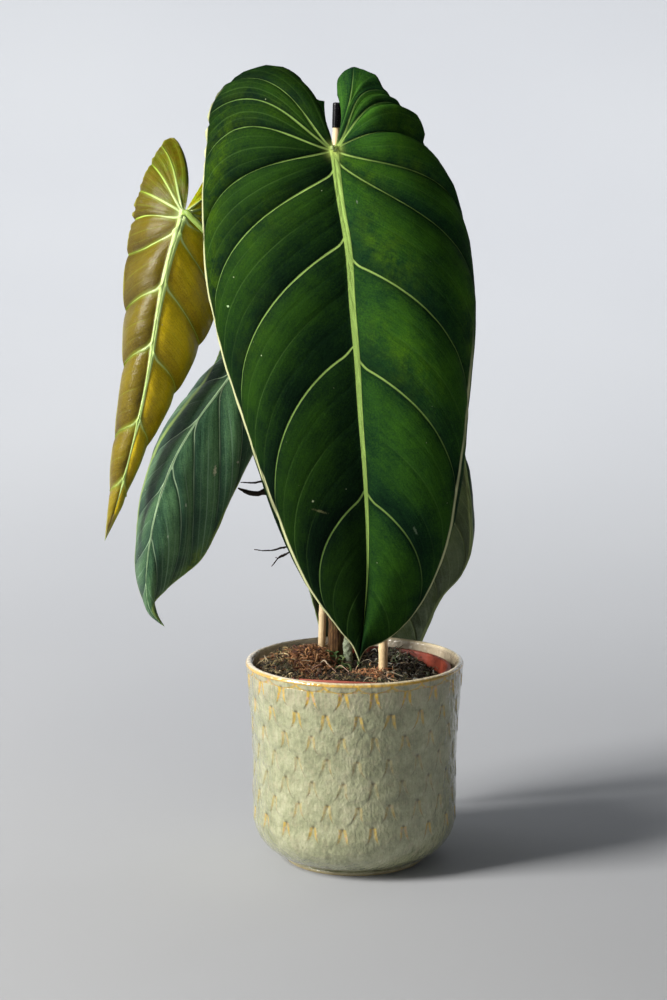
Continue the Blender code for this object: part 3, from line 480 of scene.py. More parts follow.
def petiole_finish():
    """Leaf stalk: smooth green with fine ribs along it and pale dashes."""
    f = Finish("petiole_green", Roughness=0.36, Specular_IOR_Level=0.5)
    long = f.value("grain", (1.0, 0.05, 1.0))
    tone = f.ramp(f.noise(long, 1.1, 4.0, 0.6), [(0.0, (0.16, 0.27, 0.035)),
                                                 (1.0, (0.36, 0.50, 0.10))])
    dash = f.noise(f.value("grain", (1.0, 0.22, 1.0)), 0.8, 2.0, 0.5, 0.62, 0.7)
    tone = f.mix(f.times(dash, 0.5), tone, (0.55, 0.62, 0.30))
    f.paint(f.mix(f.value("hard"), tone, (0.10, 0.11, 0.03)))
    f.relief(f.noise(long, 0.7, 2.0), 0.12)
    return f.material


def root_finish():
    """Aerial roots: near-black, dry and finely scaly, browner at the growing tips."""
    f = Finish("aerial_root", Roughness=0.75, Specular_IOR_Level=0.3)
    tone = f.ramp(f.noise(f.place(), 1.1, 5.0, 0.7), [(0.0, (0.005, 0.003, 0.002)),
                                                      (1.0, (0.035, 0.020, 0.011))])
    f.paint(f.mix(f.value("hard"), tone, (0.07, 0.038, 0.016)))
    f.relief(f.noise(f.place(), 0.8, 4.0, 0.7), 0.3)
    return f.material


# Glazed pot
POT_RIM_RADIUS = 75.0
POT_BODY_RADIUS = 70.3
POT_HEIGHT = 139.5
POT_FOOT_RADIUS = 48.5
POT_FOOT_HEIGHT = 2.5
POT_FOOT_GROOVE = 1.2
POT_FLARE_START = 75.0
POT_ROUND = 29.0
POT_ROUND_END = math.radians(73.4)  # how far round the bottom bends before it meets the foot
POT_WALL = 4.6
POT_LIP = 2.2                       # height of the rounded lip
POT_FLOOR = 8.5
POT_INNER_ROUND = 22.0
SCALE_COLUMNS = 21
SCALE_ROWS = 7
SCALE_TOP = 132.9                   # height of the uppermost necks
SCALE_PITCH = 15.6
SCALE_DEPTH = 0.95
SCALE_TURN = math.radians(5.9)
SCALE_SIDE = (0.067, 0.09, 0.276)   # half width: at the neck, its slope there, and its flare
SCALE_REACH = 71.0                  # radius at which the scales' width is taken
ARC_SHARE = 0.29                    # height of the rim arcs as a share of a row
# how golden each row's strokes are, from the rim arcs down
SCALE_GOLD = (1.0, 0.95, 0.60, 0.36, 0.20, 0.16, 0.32, 0.65, 0.0, 0.0)
POT_SIDES = 504


def pot_radius(z):
    """Outer radius of the glazed pot: a rounded bottom, a straight wall and a flared rim."""
    drop = np.clip((POT_FOOT_HEIGHT + POT_ROUND - z) / POT_ROUND, 0.0, 1.0)
    rise = np.clip((z - POT_FLARE_START) / (POT_HEIGHT - POT_FLARE_START), 0.0, 1.0)
    return (POT_BODY_RADIUS - POT_ROUND * (1.0 - np.sqrt(1.0 - drop**2))
            + (POT_RIM_RADIUS - POT_BODY_RADIUS) * rise**1.3)


def scales(angle, z):
    """Relief in mm, and where the lines and strokes of the overlapping scales run.

    A scale hangs from a narrow neck, is widest a row lower and ends at the neck two rows down.
    Its side leaves the neck almost upright and flares with the fourth power of the way down. It
    thickens from its neck to its end, so it stands proud of the next scale along its whole side.
    A low bead follows the upper part of its side. Above the uppermost necks the ends are round
    arcs. The line's distance is counted positive and negative by turns from row to row, so that
    it passes smoothly from one row to the next.
    """
    here = around(SCALE_REACH, angle, z)
    down = (SCALE_TOP - z) / SCALE_PITCH
    row = down + 0.035 * ripple(here, 30.0, 61) * step(0.2, 0.8, down)
    k = np.floor(row)
    t = row - k
    column = (angle - SCALE_TURN) / TURN * SCALE_COLUMNS + 0.5 * k + 0.03 * ripple(here, 26.0, 62)
    across = np.abs(column - np.round(column))
    wide = TURN * SCALE_REACH / SCALE_COLUMNS
    neck, lean, belly = SCALE_SIDE
    flare = neck + lean * t + belly * t**4
    slope = (lean + 4.0 * belly * t**3) * wide / SCALE_PITCH
    top = k < 0
    up = (1.0 - t) / ARC_SHARE
    arc = np.sqrt(np.clip(1.0 - (1.0 - up)**2, 0.02, 1.0))
    flare = np.where(top, 0.5 - 0.5 * arc - 0.6 * np.maximum(up - 1.0, 0.0), flare)
    slope = np.where(top, 2.4 * np.maximum(1.0 - up, 0.0) / arc, slope)
    away = (across - flare) * wide / np.sqrt(1.0 + slope**2)
    inside = (z < POT_HEIGHT - 2.0) * step(SCALE_ROWS + 0.6, SCALE_ROWS - 0.3, row)
    proud = step(-0.55, 0.55, away)
    wedge = 0.5 * (t + proud) * (1.0 - 0.75 * proud * step(0.60, 0.95, t)) - 0.42
    height = SCALE_DEPTH * np.where(top, 0.40 * proud - 0.25, wedge)
    bead = step(0.9, 0.2, np.abs(away)) * step(0.8, 0.3, t) * np.where(top, 0.0, 1.0)
    height = (height + 0.18 * bead) * inside
    strength = np.array(SCALE_GOLD)[np.clip(k + 1.0, 0, len(SCALE_GOLD) - 1).astype(int)]
    keep = inside * step(SCALE_ROWS + 0.2, SCALE_ROWS - 0.8, row)
    gold = strength * keep * np.where(top, 1.0 - 0.4 * step(0.80, 0.95, t), step(0.75, 0.42, t))
    girth = np.where(top, 1.0, 1.35 - 0.85 * step(0.25, 0.85, t))
    end = np.exp(-(np.minimum(t, 1.0 - t) * SCALE_PITCH / 1.2)**2) * step(0.075, 0.03, np.where(
        t < 0.5, across, 0.5 - across))
    fade = 1.0 - 0.15 * step(0.8, 2.2, row) * step(7.0, 5.6, row)
    groove = keep * fade * np.where(top, 0.45 + 0.55 * step(0.85, 1.0, t),
                                    (0.2 + 0.8 * step(0.25, 0.45, t)) * step(0.86, 0.62, t))
    line = np.clip(away, -4.0, 4.0) * np.where(k % 2 == 0, 1.0, -1.0)
    return dict(line=line, girth=girth, gold=gold, groove=groove, end=end * keep,
                drips=step(1.2, 0.4, row) * keep), height


def glazed_pot():
    """The glazed pot: its wall's outline carried round the axis, with the scales' relief."""
    wall = np.arange(POT_HEIGHT - 1.4, POT_FOOT_HEIGHT + POT_ROUND, -0.85)
    bend = np.linspace(0.0, POT_ROUND_END, 30)
    outer_z = np.concatenate((wall, POT_FOOT_HEIGHT + POT_ROUND - POT_ROUND * np.sin(bend)))
    outer = np.stack((pot_radius(outer_z), outer_z), axis=-1)
    inner_r = POT_BODY_RADIUS - POT_WALL
    turn = np.radians(np.linspace(0.0, 90.0, 7))
    floor = np.stack((inner_r - POT_INNER_ROUND * (1.0 - np.sin(turn)),
                      POT_FLOOR + POT_INNER_ROUND * (1.0 - np.cos(turn))), axis=-1)
    side_z = np.linspace(40.0, POT_HEIGHT - 2.3, 9)
    side = np.stack((pot_radius(side_z) - POT_WALL, side_z), axis=-1)
    lip_turn = np.radians(np.linspace(180.0, 0.0, 11))
    lip = np.stack((POT_RIM_RADIUS - 0.5 * POT_WALL + 0.5 * POT_WALL * np.cos(lip_turn),
                    POT_HEIGHT - POT_LIP + POT_LIP * np.sin(lip_turn)), axis=-1)
    ring = np.array([(POT_FOOT_RADIUS - POT_FOOT_GROOVE, POT_FOOT_HEIGHT + 1.1),
                     (POT_FOOT_RADIUS - 0.5, POT_FOOT_HEIGHT + 0.2),
                     (POT_FOOT_RADIUS, POT_FOOT_HEIGHT - 0.4), (POT_FOOT_RADIUS, 0.4),
                     (POT_FOOT_RADIUS - 0.4, 0.0), (0.0, 0.0)])
    outline = np.vstack(([(0.0, POT_FLOOR)], floor, side, lip, outer[1:], ring))
    is_outer = np.zeros(len(outline))
    first = 1 + len(floor) + len(side) + len(lip)
    is_outer[first:first + len(outer) - 1] = 1.0
    angle = TURN * np.arange(POT_SIDES) / POT_SIDES
    r, z = outline[:, :1], np.repeat(outline[:, 1:], POT_SIDES, axis=1)
    marks, height = scales(angle[None], z)
    outside = is_outer[:, None] * np.ones_like(z)
    r = r + height * outside
    points = around(r, angle, z)
    # the outline's rows are counted, and first is the first row of the outer wall
    order = np.arange(len(outline))[:, None] * np.ones_like(z)
    values = {
        **{key: mark * (outside if key != "girth" else 1.0) for key, mark in marks.items()},
        "inside": step(first - 4, first - 7, order),
        # painted light: where the inner wall is painted paler, towards the back left
        "pale": step(56.0, 30.0, points[..., 0]) * step(0.0, 25.0, points[..., 1]),
        "lip": step(first - 10, first - 8, order) * step(first - 2.6, first - 4.6, order),
        "rim_ochre": (step(POT_HEIGHT - 2.7, POT_HEIGHT - 2.1, z)
                      * step(first - 4.4, first - 3.0, order)),
        "foot": step(first + len(outer) + 0.5, first + len(outer) + 1.5, order)}
    add_piece("glazed_pot", points, grid_faces(len(outline), POT_SIDES, wrap=True),
              glaze_finish(), ("outer_pot",), values)


# Canes, stem, stalks and roots. Paths are x, y and z in mm, and a fourth number is the radius.
def carried(line, radius, sides, seed=0, rough=0.0, cap=3):
    """Points of a round bar whose outline is carried along a line in mm.

    The outline lies in the plane across the line. Its first direction is square to the line and
    to the normal of the plane that the whole line fits best, so it never twists. The ends are
    closed by rings that shrink to a point.
    """
    line = np.asarray(line, dtype=float)
    radius = np.broadcast_to(radius, len(line)).astype(float)
    tangent = unit(np.gradient(line, axis=0))
    normal = np.linalg.svd(line - line.mean(axis=0))[2][-1]
    first = unit(np.cross(tangent, normal))
    second = np.cross(tangent, first)
    shrink = np.cos(np.linspace(0.0, np.pi / 2.0, cap + 1))[1:]
    push = np.sin(np.linspace(0.0, np.pi / 2.0, cap + 1))[1:]
    rows = np.concatenate((np.zeros(cap, int), np.arange(len(line)), np.full(cap, len(line) - 1)))
    scale = np.concatenate((shrink[::-1], np.ones(len(line)), shrink))
    shift = np.concatenate((-push[::-1] * radius[0], np.zeros(len(line)), push * radius[-1]))
    angle = TURN * np.arange(sides) / sides
    out = first[rows, None] * np.cos(angle)[:, None] + second[rows, None] * np.sin(angle)[:, None]
    centre = line[rows] + tangent[rows] * shift[:, None]
    thick = (radius[rows] * scale)[:, None] * np.ones(sides)
    points = centre[:, None] + out * thick[..., None]
    if rough:
        points = points + out * (rough * ripple(points, 4.0, seed))[..., None]
    run = np.concatenate(([0.0], np.cumsum(np.linalg.norm(np.diff(line, axis=0), axis=1))))
    grain = np.stack((thick * angle, run[rows][:, None] * np.ones(sides),
                      np.full_like(thick, seed)), axis=-1)
    return points, grain, out, rows


def joined(parts, wrap=True):
    """Several grids of points and values as one list of points, faces and values."""
    points, faces, values, start = [], [], {}, 0
    for grid, kept in parts:
        rows, columns = grid.shape[:2]
        points.append(grid.reshape(-1, 3))
        faces.append(grid_faces(rows, columns, wrap) + start)
        start += rows * columns
        for key, value in kept.items():
            values.setdefault(key, []).append(value.reshape(rows * columns, -1))
    merged = {key: np.vstack(value) for key, value in values.items()}
    merged = {key: value[:, 0] if value.shape[1] == 1 else value for key, value in merged.items()}
    return np.vstack(points), np.vstack(faces), merged


# A cane's node, foot, top, radius and how strongly its foot is stained.
CANES = {
    "cane_tall": ("stake_tall", (-24.8, 30.8, 72.0), (-12.0, 50.2, 509.5), 2.75, 0.95),
    "cane_short": ("stake_short", (19.6, 5.0, 22.0), (20.2, 6.5, 418.0), 3.2, 0.35)}
CANE_ROWS = 260
CANE_SIDES = 40
RING_GAP = 0.27                     # share of a cane's length from ring to ring
STAIN_HEIGHTS = (154.0, 131.0)      # where a cane's stain starts and where it is full


def canes():
    """Bamboo canes: a bar whose radius swells slightly at its rings and wavers along its length."""
    finish = cane_finish()
    for seed, (name, (node, foot, top, radius, stained)) in enumerate(CANES.items()):
        line = np.linspace(foot, top, CANE_ROWS)
        run = np.linspace(0.0, 1.0, CANE_ROWS)
        thick = radius * (1.0 + 0.012 * np.sin(23.0 * run + seed) - 0.012 * run)
        for share in np.arange(0.21 + 0.1 * seed, 1.0, RING_GAP):
            thick = thick + 0.09 * radius * np.exp(-((run - share) / 0.004)**2)
        thick[1:-1] -= 0.03
        points, grain, _, rows = carried(line, thick - 0.05, CANE_SIDES, seed + 3, 0.03, 2)
        stain = stained * step(*STAIN_HEIGHTS, line[rows, 2])[:, None] * np.ones(CANE_SIDES)
        add_piece(name, points, grid_faces(len(rows), CANE_SIDES, wrap=True), finish, (node,),
                  {"grain": grain, "stain": stain})


def cap_on_cane():
    """The black cap on the tall cane: an outline of radius and height carried round its axis."""
    foot, top = (np.array(CANES["cane_tall"][k]) for k in (1, 2))
    lean = unit(top - foot)
    skirt, dome, radius, bore, seat, bend, sides = -9.0, 8.0, 3.3, 3.1, 0.4, 1.2, 48
    turn = np.radians(np.linspace(0.0, 90.0, 8))
    outline = np.vstack(([(0.0, seat), (bore, seat), (bore, skirt)],
                         [(radius - 0.05, skirt), (radius, skirt + 0.2), (radius, dome - 1.6)],
                         np.stack((radius - bend + bend * np.cos(turn),
                                   dome - bend + bend * np.sin(turn)), axis=-1)[1:],
                         [(0.0, dome)]))
    side = unit(np.cross(lean, (0.0, 1.0, 0.0)))
    other = np.cross(lean, side)
    angle = TURN * np.arange(sides) / sides
    out = side * np.cos(angle)[:, None] + other * np.sin(angle)[:, None]
    points = (top + outline[:, None, 1:] * lean) + outline[:, None, :1] * out
    add_piece("cane_cap", points, grid_faces(len(outline), sides, wrap=True), cap_finish(),
              ("stake_cap",), sharp=35.0)


STEM_PATH = ((-12.8, 31.0, 62.0, 4.6), (-12.8, 31.0, 100.0, 5.0), (-12.8, 31.0, 134.0, 5.7),
             (-12.8, 30.5, 165.0, 5.6), (-12.4, 30.5, 210.0, 5.2), (-12.0, 30.0, 260.0, 4.9),
             (-11.4, 30.0, 310.0, 4.5), (-11.0, 30.0, 350.0, 4.1), (-10.6, 30.0, 385.0, 3.6),
             (-10.2, 31.5, 408.0, 2.4), (-9.8, 33.0, 428.0, 0.7))
STEM_NODES = (165.0, 210.0, 260.0, 300.0, 333.0, 366.0)
STEM_TIP = (430.0, 424.0)           # heights between which the skin's relief comes in
STEM_BARK = (330.0, 190.0)          # heights between which bark comes in
COLLAR_WALL = 0.16
SEAT_REACH = 3.4                    # how far a stalk or root runs straight out of the stem
PETIOLE_RADIUS = 2.6
PETIOLE_END_RADIUS = 1.7
ROOT_START_RADIUS = 1.3
STUB_PATH = ((-3.6, 24.5, 108.0, 2.9), (-3.6, 24.5, 128.0, 3.1), (-4.4, 24.0, 139.0, 3.3),
             (-5.0, 23.6, 146.0, 3.0), (-5.4, 23.4, 148.5, 1.8))
STUB_END = (149.0, 146.0)           # heights between which its lumps come in


def stem_line(count):
    """The stem's axis and radius, with a swelling at each leaf node."""
    line = smooth_line(STEM_PATH, count)
    for node in STEM_NODES:
        line[:, 3] *= 1.0 + 0.16 * np.exp(-((line[:, 2] - node) / 3.5)**2)
    return line


def stem_seat(height, heading):
    """Place on the stem's skin at a height, and the way out from there."""
    line = stem_line(200)
    x, y, radius = (np.interp(height, line[:, 2], line[:, k]) for k in (0, 1, 3))
    out = np.array([math.cos(math.radians(heading)), math.sin(math.radians(heading)), 0.0])
    return np.array([x, y, height]) + out * (radius - 0.4), out


def torn_collar(line, node, k, angle):
    """A thin sleeve that leans off the stem above a node by a power of the way up. Its upper edge
    is torn, because its height is a reach times sines of the angle."""
    reach = 9.0 + 3.0 * math.sin(5.0 * k)
    up = np.linspace(0.0, 1.0, 9)[:, None]
    tear = 0.72 + 0.20 * np.sin(3.0 * angle + k) + 0.10 * np.sin(11.0 * angle + 2.0 * k)
    height = node + 1.0 + reach * up * tear
    x, y, radius = (np.interp(height, line[:, 2], line[:, column]) for column in (0, 1, 3))
    off = radius + 0.12 + 0.45 * up**1.5 * (1.0 + 0.6 * np.sin(5.0 * angle + k))
    sheets = [around(off + depth, angle, height, (x, y)) for depth in (0.0, COLLAR_WALL)]
    sleeve = np.vstack((sheets[0], sheets[1][::-1], sheets[0][:1]))
    whole = np.ones(sleeve.shape[:2])
    lay = np.stack((5.0 * angle * whole, sleeve[..., 2] + 40.0 * k, 9.0 * whole), axis=-1)
    return sleeve, {"grain": lay, "hard": whole}


def stem():
    """The climbing stem: a bar with a ring and a torn papery collar at each node. Its skin is
    pushed out by low ribs along it and by soft noise."""
    line = stem_line(420)
    sides = 56
    points, grain, out, _ = carried(line[:, :3], line[:, 3] - 0.25, sides, 5)
    angle = TURN * np.arange(sides) / sides
    z = points[..., 2]
    ribs = 0.10 * np.sin(9.0 * angle + 0.02 * z) + 0.08 * np.sin(17.0 * angle - 0.05 * z)
    scar = sum(0.35 * np.exp(-((z - node - 1.2 * np.sin(angle)) / 0.7)**2) for node in STEM_NODES)
    live = step(*STEM_TIP, z)
    push = (ribs * 0.8 + scar + 0.16 * ripple(points, 7.0, 31) - 0.1) * live
    points = points + out * push[..., None]
    hard = step(*STEM_BARK, z)
    for node in STEM_NODES:
        hard = np.maximum(hard, 0.9 * np.exp(-((z - node - 4.0) / 5.0)**2))
    parts = [(points, {"grain": grain, "hard": hard})]
    parts += [torn_collar(line, node, k, angle) for k, node in enumerate(STEM_NODES)]
    points, faces, values = joined(parts)
    add_piece("climbing_stem", points, faces, stem_finish(), ("stem",), values,
              weld=0.004)


def cut_stub():
    """The old cut stem by the climbing one: a bar with a lumpy skin, smoother at its dry end."""
    sides = 36
    stub = smooth_line(STUB_PATH, 60)
    points, _, out, rows = carried(stub[:, :3], stub[:, 3] - 0.25, sides, 7)
    lumps = 0.22 * ripple(points, 3.0, 8) * step(*STUB_END, points[..., 2])
    points = points + out * lumps[..., None]
    add_piece("cut_stub", points, grid_faces(len(rows), sides, wrap=True), stub_finish(),
              ("stem_stub",))


# A stalk or root springs from the stem at a height, towards a heading in degrees.
PETIOLES = {
    "petiole_front": (333.0, -90.0, ((-12.0, 17.0, 346.0), (-13.0, 6.0, 405.0),
                                     (-14.0, -14.0, 461.0), (-14.2, -32.0, 484.0),
                                     (-14.2, -47.9, 485.0))),
    "petiole_young": (366.0, 190.0, ((-22.0, 26.0, 370.0), (-40.0, 16.0, 388.0),
                                     (-68.0, 0.0, 411.0), (-94.0, -17.5, 427.5),
                                     (-106.5, -19.5, 440.0), (-111.6, -18.0, 444.6),
                                     (-113.4, -14.5, 443.4))),
    "petiole_left": (300.0, 165.0, ((-24.0, 34.0, 308.0), (-38.0, 38.0, 330.0),
                                    (-55.0, 37.0, 353.0), (-64.5, 27.0, 364.0),
                                    (-67.0, 12.7, 362.6))),
    "petiole_back": (210.0, 50.0, ((-4.0, 41.0, 216.0), (2.0, 54.0, 250.0),
                                   (9.0, 72.0, 290.0), (15.0, 87.0, 309.0),
                                   (16.9, 98.35, 308.2)))}


def petioles():
    """Leaf stalks: ribbed bars that taper from the stem and swell at the joint below the blade."""
    finish = petiole_finish()
    sides = 32
    for seed, (name, (height, heading, path)) in enumerate(PETIOLES.items()):
        seat, out_way = stem_seat(height, heading)
        line = smooth_line((seat + out_way * SEAT_REACH,) + path, 150)
        line = np.vstack((np.linspace(seat, line[0], 6)[:-1], line))
        share = np.linspace(0.0, 1.0, len(line))
        radius = PETIOLE_RADIUS * (1.08 - 0.2 * share)
        radius = radius * (1.0 - 0.10 * np.exp(-((share - 0.80) / 0.03)**2))
        end = np.clip((share - 0.94) / 0.06, 0.0, 1.0)
        radius = radius * (1.0 - end) + PETIOLE_END_RADIUS * end
        points, grain, out, rows = carried(line, radius - 0.12, sides, seed + 1)
        angle = TURN * np.arange(sides) / sides
        push = 0.05 * np.sin(8.0 * angle) + 0.06 * ripple(points, 6.0, seed + 40)
        hard = step(0.05, 0.0, share[rows])[:, None] * np.ones(sides)
        add_piece("stalk_" + name.split("_")[1], points + out * push[..., None],
                  grid_faces(len(rows), sides, wrap=True), finish, (name,),
                  {"grain": grain, "hard": hard})


AERIAL_ROOTS = {
    "aerial_root_upper": (260.0, 180.0, (
        ((-36.0, 33.0, 262.0, 1.2), (-60.0, 36.0, 258.0, 1.0), (-70.0, 37.0, 256.5, 0.75),
         (-79.0, 37.5, 256.6, 0.45)),
        ((-30.0, 32.0, 261.5, 1.0), (-48.0, 34.0, 258.0, 1.5), (-61.0, 34.5, 251.5, 1.8),
         (-67.5, 35.0, 249.0, 1.9), (-73.5, 35.0, 249.8, 1.8), (-80.5, 34.5, 252.8, 0.7)),
        ((-46.0, 33.9, 258.2, 0.8), (-58.0, 36.0, 249.6, 0.9), (-68.5, 36.5, 248.0, 0.6)))),
    "aerial_root_lower": (210.0, 180.0, (
        ((-34.0, 30.0, 214.0, 1.1), (-50.0, 29.0, 211.6, 0.8), (-60.0, 28.0, 210.0, 0.6),
         (-69.5, 27.5, 210.8, 0.4)),
        ((-33.0, 30.0, 213.6, 0.9), (-44.0, 29.0, 209.5, 0.8), (-51.5, 28.5, 205.5, 0.65),
         (-57.5, 28.0, 199.0, 0.4)),
        ((-46.5, 28.9, 208.0, 0.6), (-51.0, 29.5, 204.8, 0.5), (-55.0, 30.0, 204.6, 0.3))))}


def aerial_roots():
    """Dark roots: bars that waver off their line and whose skin is knobbly, in one piece each."""
    finish = root_finish()
    count, sides = 110, 16
    for seed, (name, (height, heading, branches)) in enumerate(AERIAL_ROOTS.items()):
        seat, out_way = stem_seat(height, heading)
        parts = []
        for k, stations in enumerate(branches):
            if k == 0:
                first = (*(seat + out_way * SEAT_REACH), ROOT_START_RADIUS)
                stations = ((*seat, ROOT_START_RADIUS), first) + stations
            line = smooth_line(stations, count)
            share = np.linspace(0.0, 1.0, count)
            drift = np.stack([ripple(line[:, :3], 13.0, 50 + 7 * k + c) for c in range(3)], -1)
            line[:, :3] += 0.45 * drift * np.sin(np.pi * share)[:, None]
            points, _, out, rows = carried(line[:, :3], line[:, 3] - 0.1, sides, 60 + k)
            push = 0.10 * ripple(points, 2.6, 70 + k + 10 * seed)
            hard = step(0.93, 1.0, share[rows])[:, None] * np.ones(sides)
            parts.append((points + out * push[..., None], {"hard": hard}))
        points, faces, values = joined(parts)
        add_piece(name.replace("aerial_root", "air_roots"), points, faces, finish, (name,),
                  values, weld=0.003)


# Leaves
# Side veins of half a blade, from the notch to the tip: where each leaves the midrib and meets
# the margin as shares of their lengths, how far it bows towards the base as a share of its own
# length, and how far out the bow is fullest (1 is half-way, more is farther out).
FRONT_VEINS = dict(
    left=dict(starts=(0.0, 0.0, 0.0, 0.0, 0.0, 0.0, 0.04, 0.17, 0.375, 0.65, 1.0),
              ends=(0.0, 0.045, 0.155, 0.21, 0.275, 0.385, 0.51, 0.67, 0.85, 0.935, 1.0),
              bows=(0.0, 0.05, 0.18, 0.22, 0.25, 0.205, 0.19, 0.205, 0.22, 0.21, 0.0),
              leans=(1.0, 1.0, 1.6, 1.5, 1.5, 1.3, 1.2, 1.0, 0.8, 0.9, 1.0)),
    right=dict(starts=(0.0, 0.0, 0.0, 0.0, 0.0, 0.0, 0.02, 0.21, 0.40, 0.655, 1.0),
               ends=(0.0, 0.05, 0.112, 0.14, 0.24, 0.355, 0.46, 0.625, 0.785, 0.89, 1.0),
               bows=(0.0, -0.05, 0.22, 0.21, 0.25, 0.195, 0.165, 0.20, 0.205, 0.19, 0.0),
               leans=(0.6, 1.0, 2.2, 1.7, 1.0, 1.5, 1.6, 1.0, 0.95, 0.95, 1.0)))
YOUNG_VEINS = dict(
    left=dict(starts=(0.0, 0.0, 0.0, 0.0, 0.012, 0.05, 0.22, 0.39, 0.61, 0.80, 1.0),
              ends=(0.0, 0.060, 0.106, 0.174, 0.247, 0.329, 0.461, 0.588, 0.755, 0.883, 1.0),
              bows=(0.0, 0.07, 0.045, 0.037, 0.08, -0.03, 0.095, 0.12, 0.095, 0.09, 0.0),
              leans=(1.0, 1.8, 1.8, 1.0, 1.8, 1.0, 1.0, 0.8, 1.6, 1.0, 1.0)),
    right=dict(starts=(0.0, 0.0, 0.0, 0.0, 0.02, 0.06, 0.21, 0.41, 0.61, 0.80, 1.0),
               ends=(0.0, 0.05, 0.10, 0.155, 0.22, 0.33, 0.461, 0.595, 0.74, 0.88, 1.0),
               bows=(0.0, 0.02, 0.05, 0.08, 0.05, 0.0, 0.063, 0.136, 0.10, 0.09, 0.0),
               leans=(1.0, 1.0, 1.0, 1.0, 1.0, 1.0, 1.0, 1.2, 1.0, 1.0, 1.0)))
LEFT_VEINS = dict(
    left=dict(starts=(0.0, 0.0, 0.0, 0.0, 0.03, 0.15, 0.32, 0.53, 0.72, 0.86, 1.0),
              ends=(0.0, 0.08, 0.17, 0.25, 0.30, 0.36, 0.58, 0.71, 0.82, 0.91, 1.0),
              bows=(0.0, 0.02, 0.04, 0.05, 0.08, 0.14, 0.11, 0.07, 0.03, 0.04, 0.0),
              leans=(1.0, 1.0, 1.0, 1.0, 1.0, 1.0, 1.2, 1.8, 1.0, 1.0, 1.0)),
    right=dict(starts=(0.0, 0.0, 0.0, 0.0, 0.06, 0.165, 0.20, 0.325, 0.485, 0.72, 1.0),
               ends=(0.0, 0.10, 0.20, 0.32, 0.46, 0.62, 0.76, 0.825, 0.89, 0.935, 1.0),
               bows=(0.0, 0.05, 0.10, 0.13, 0.13, 0.113, 0.045, 0.017, 0.106, 0.088, 0.0),
               leans=(1.0, 1.0, 1.0, 1.0, 0.7, 0.5, 1.6, 1.8, 0.7, 0.5, 1.0)))
# Which share of the midrib the part's solid blade joins to which share of the margin. It sets how
# deep the margin lies, and on the back leaf the side veins follow it.
COMMON_LAID = ((0.0, 0.0, 0.0, 0.0, 0.01, 0.09, 0.21, 0.36, 0.52, 0.69, 1.0),
               (0.0, 0.08, 0.17, 0.26, 0.36, 0.46, 0.56, 0.67, 0.79, 0.90, 1.0))
BACK_HALF = dict(
    starts=COMMON_LAID[0], ends=COMMON_LAID[1],
    bows=(0.0, 0.05, 0.13, 0.18, 0.20, 0.20, 0.20, 0.20, 0.19, 0.16, 0.0),
    leans=(1.0, 1.3, 1.5, 1.5, 1.5, 1.6, 1.6, 1.5, 1.2, 1.0, 1.0))
BACK_VEINS = dict(left=BACK_HALF, right=BACK_HALF)
YOUNG_LAID = ((0.0, 0.0, 0.0, 0.0, 0.065, 0.22, 0.375, 0.52, 0.66, 0.80, 1.0),
              (0.0, 0.08, 0.155, 0.23, 0.317, 0.46, 0.586, 0.69, 0.80, 0.90, 1.0))
FRONT_LAID = dict(
    left=((0.0, 0.0, 0.0, 0.0, 0.0, 0.0, 0.04, 0.175, 0.385, 0.655, 1.0),
          (0.0, 0.03, 0.13, 0.19, 0.267, 0.373, 0.474, 0.59, 0.74, 0.913, 1.0)),
    right=((0.0, 0.0, 0.0, 0.0, 0.0, 0.0, 0.02, 0.215, 0.405, 0.66, 1.0),
           (0.0, 0.048, 0.087, 0.132, 0.223, 0.302, 0.405, 0.545, 0.685, 0.875, 1.0)))


HEM_ALL_ROUND = ((-1.0, -0.5), (-1.0, -0.5))
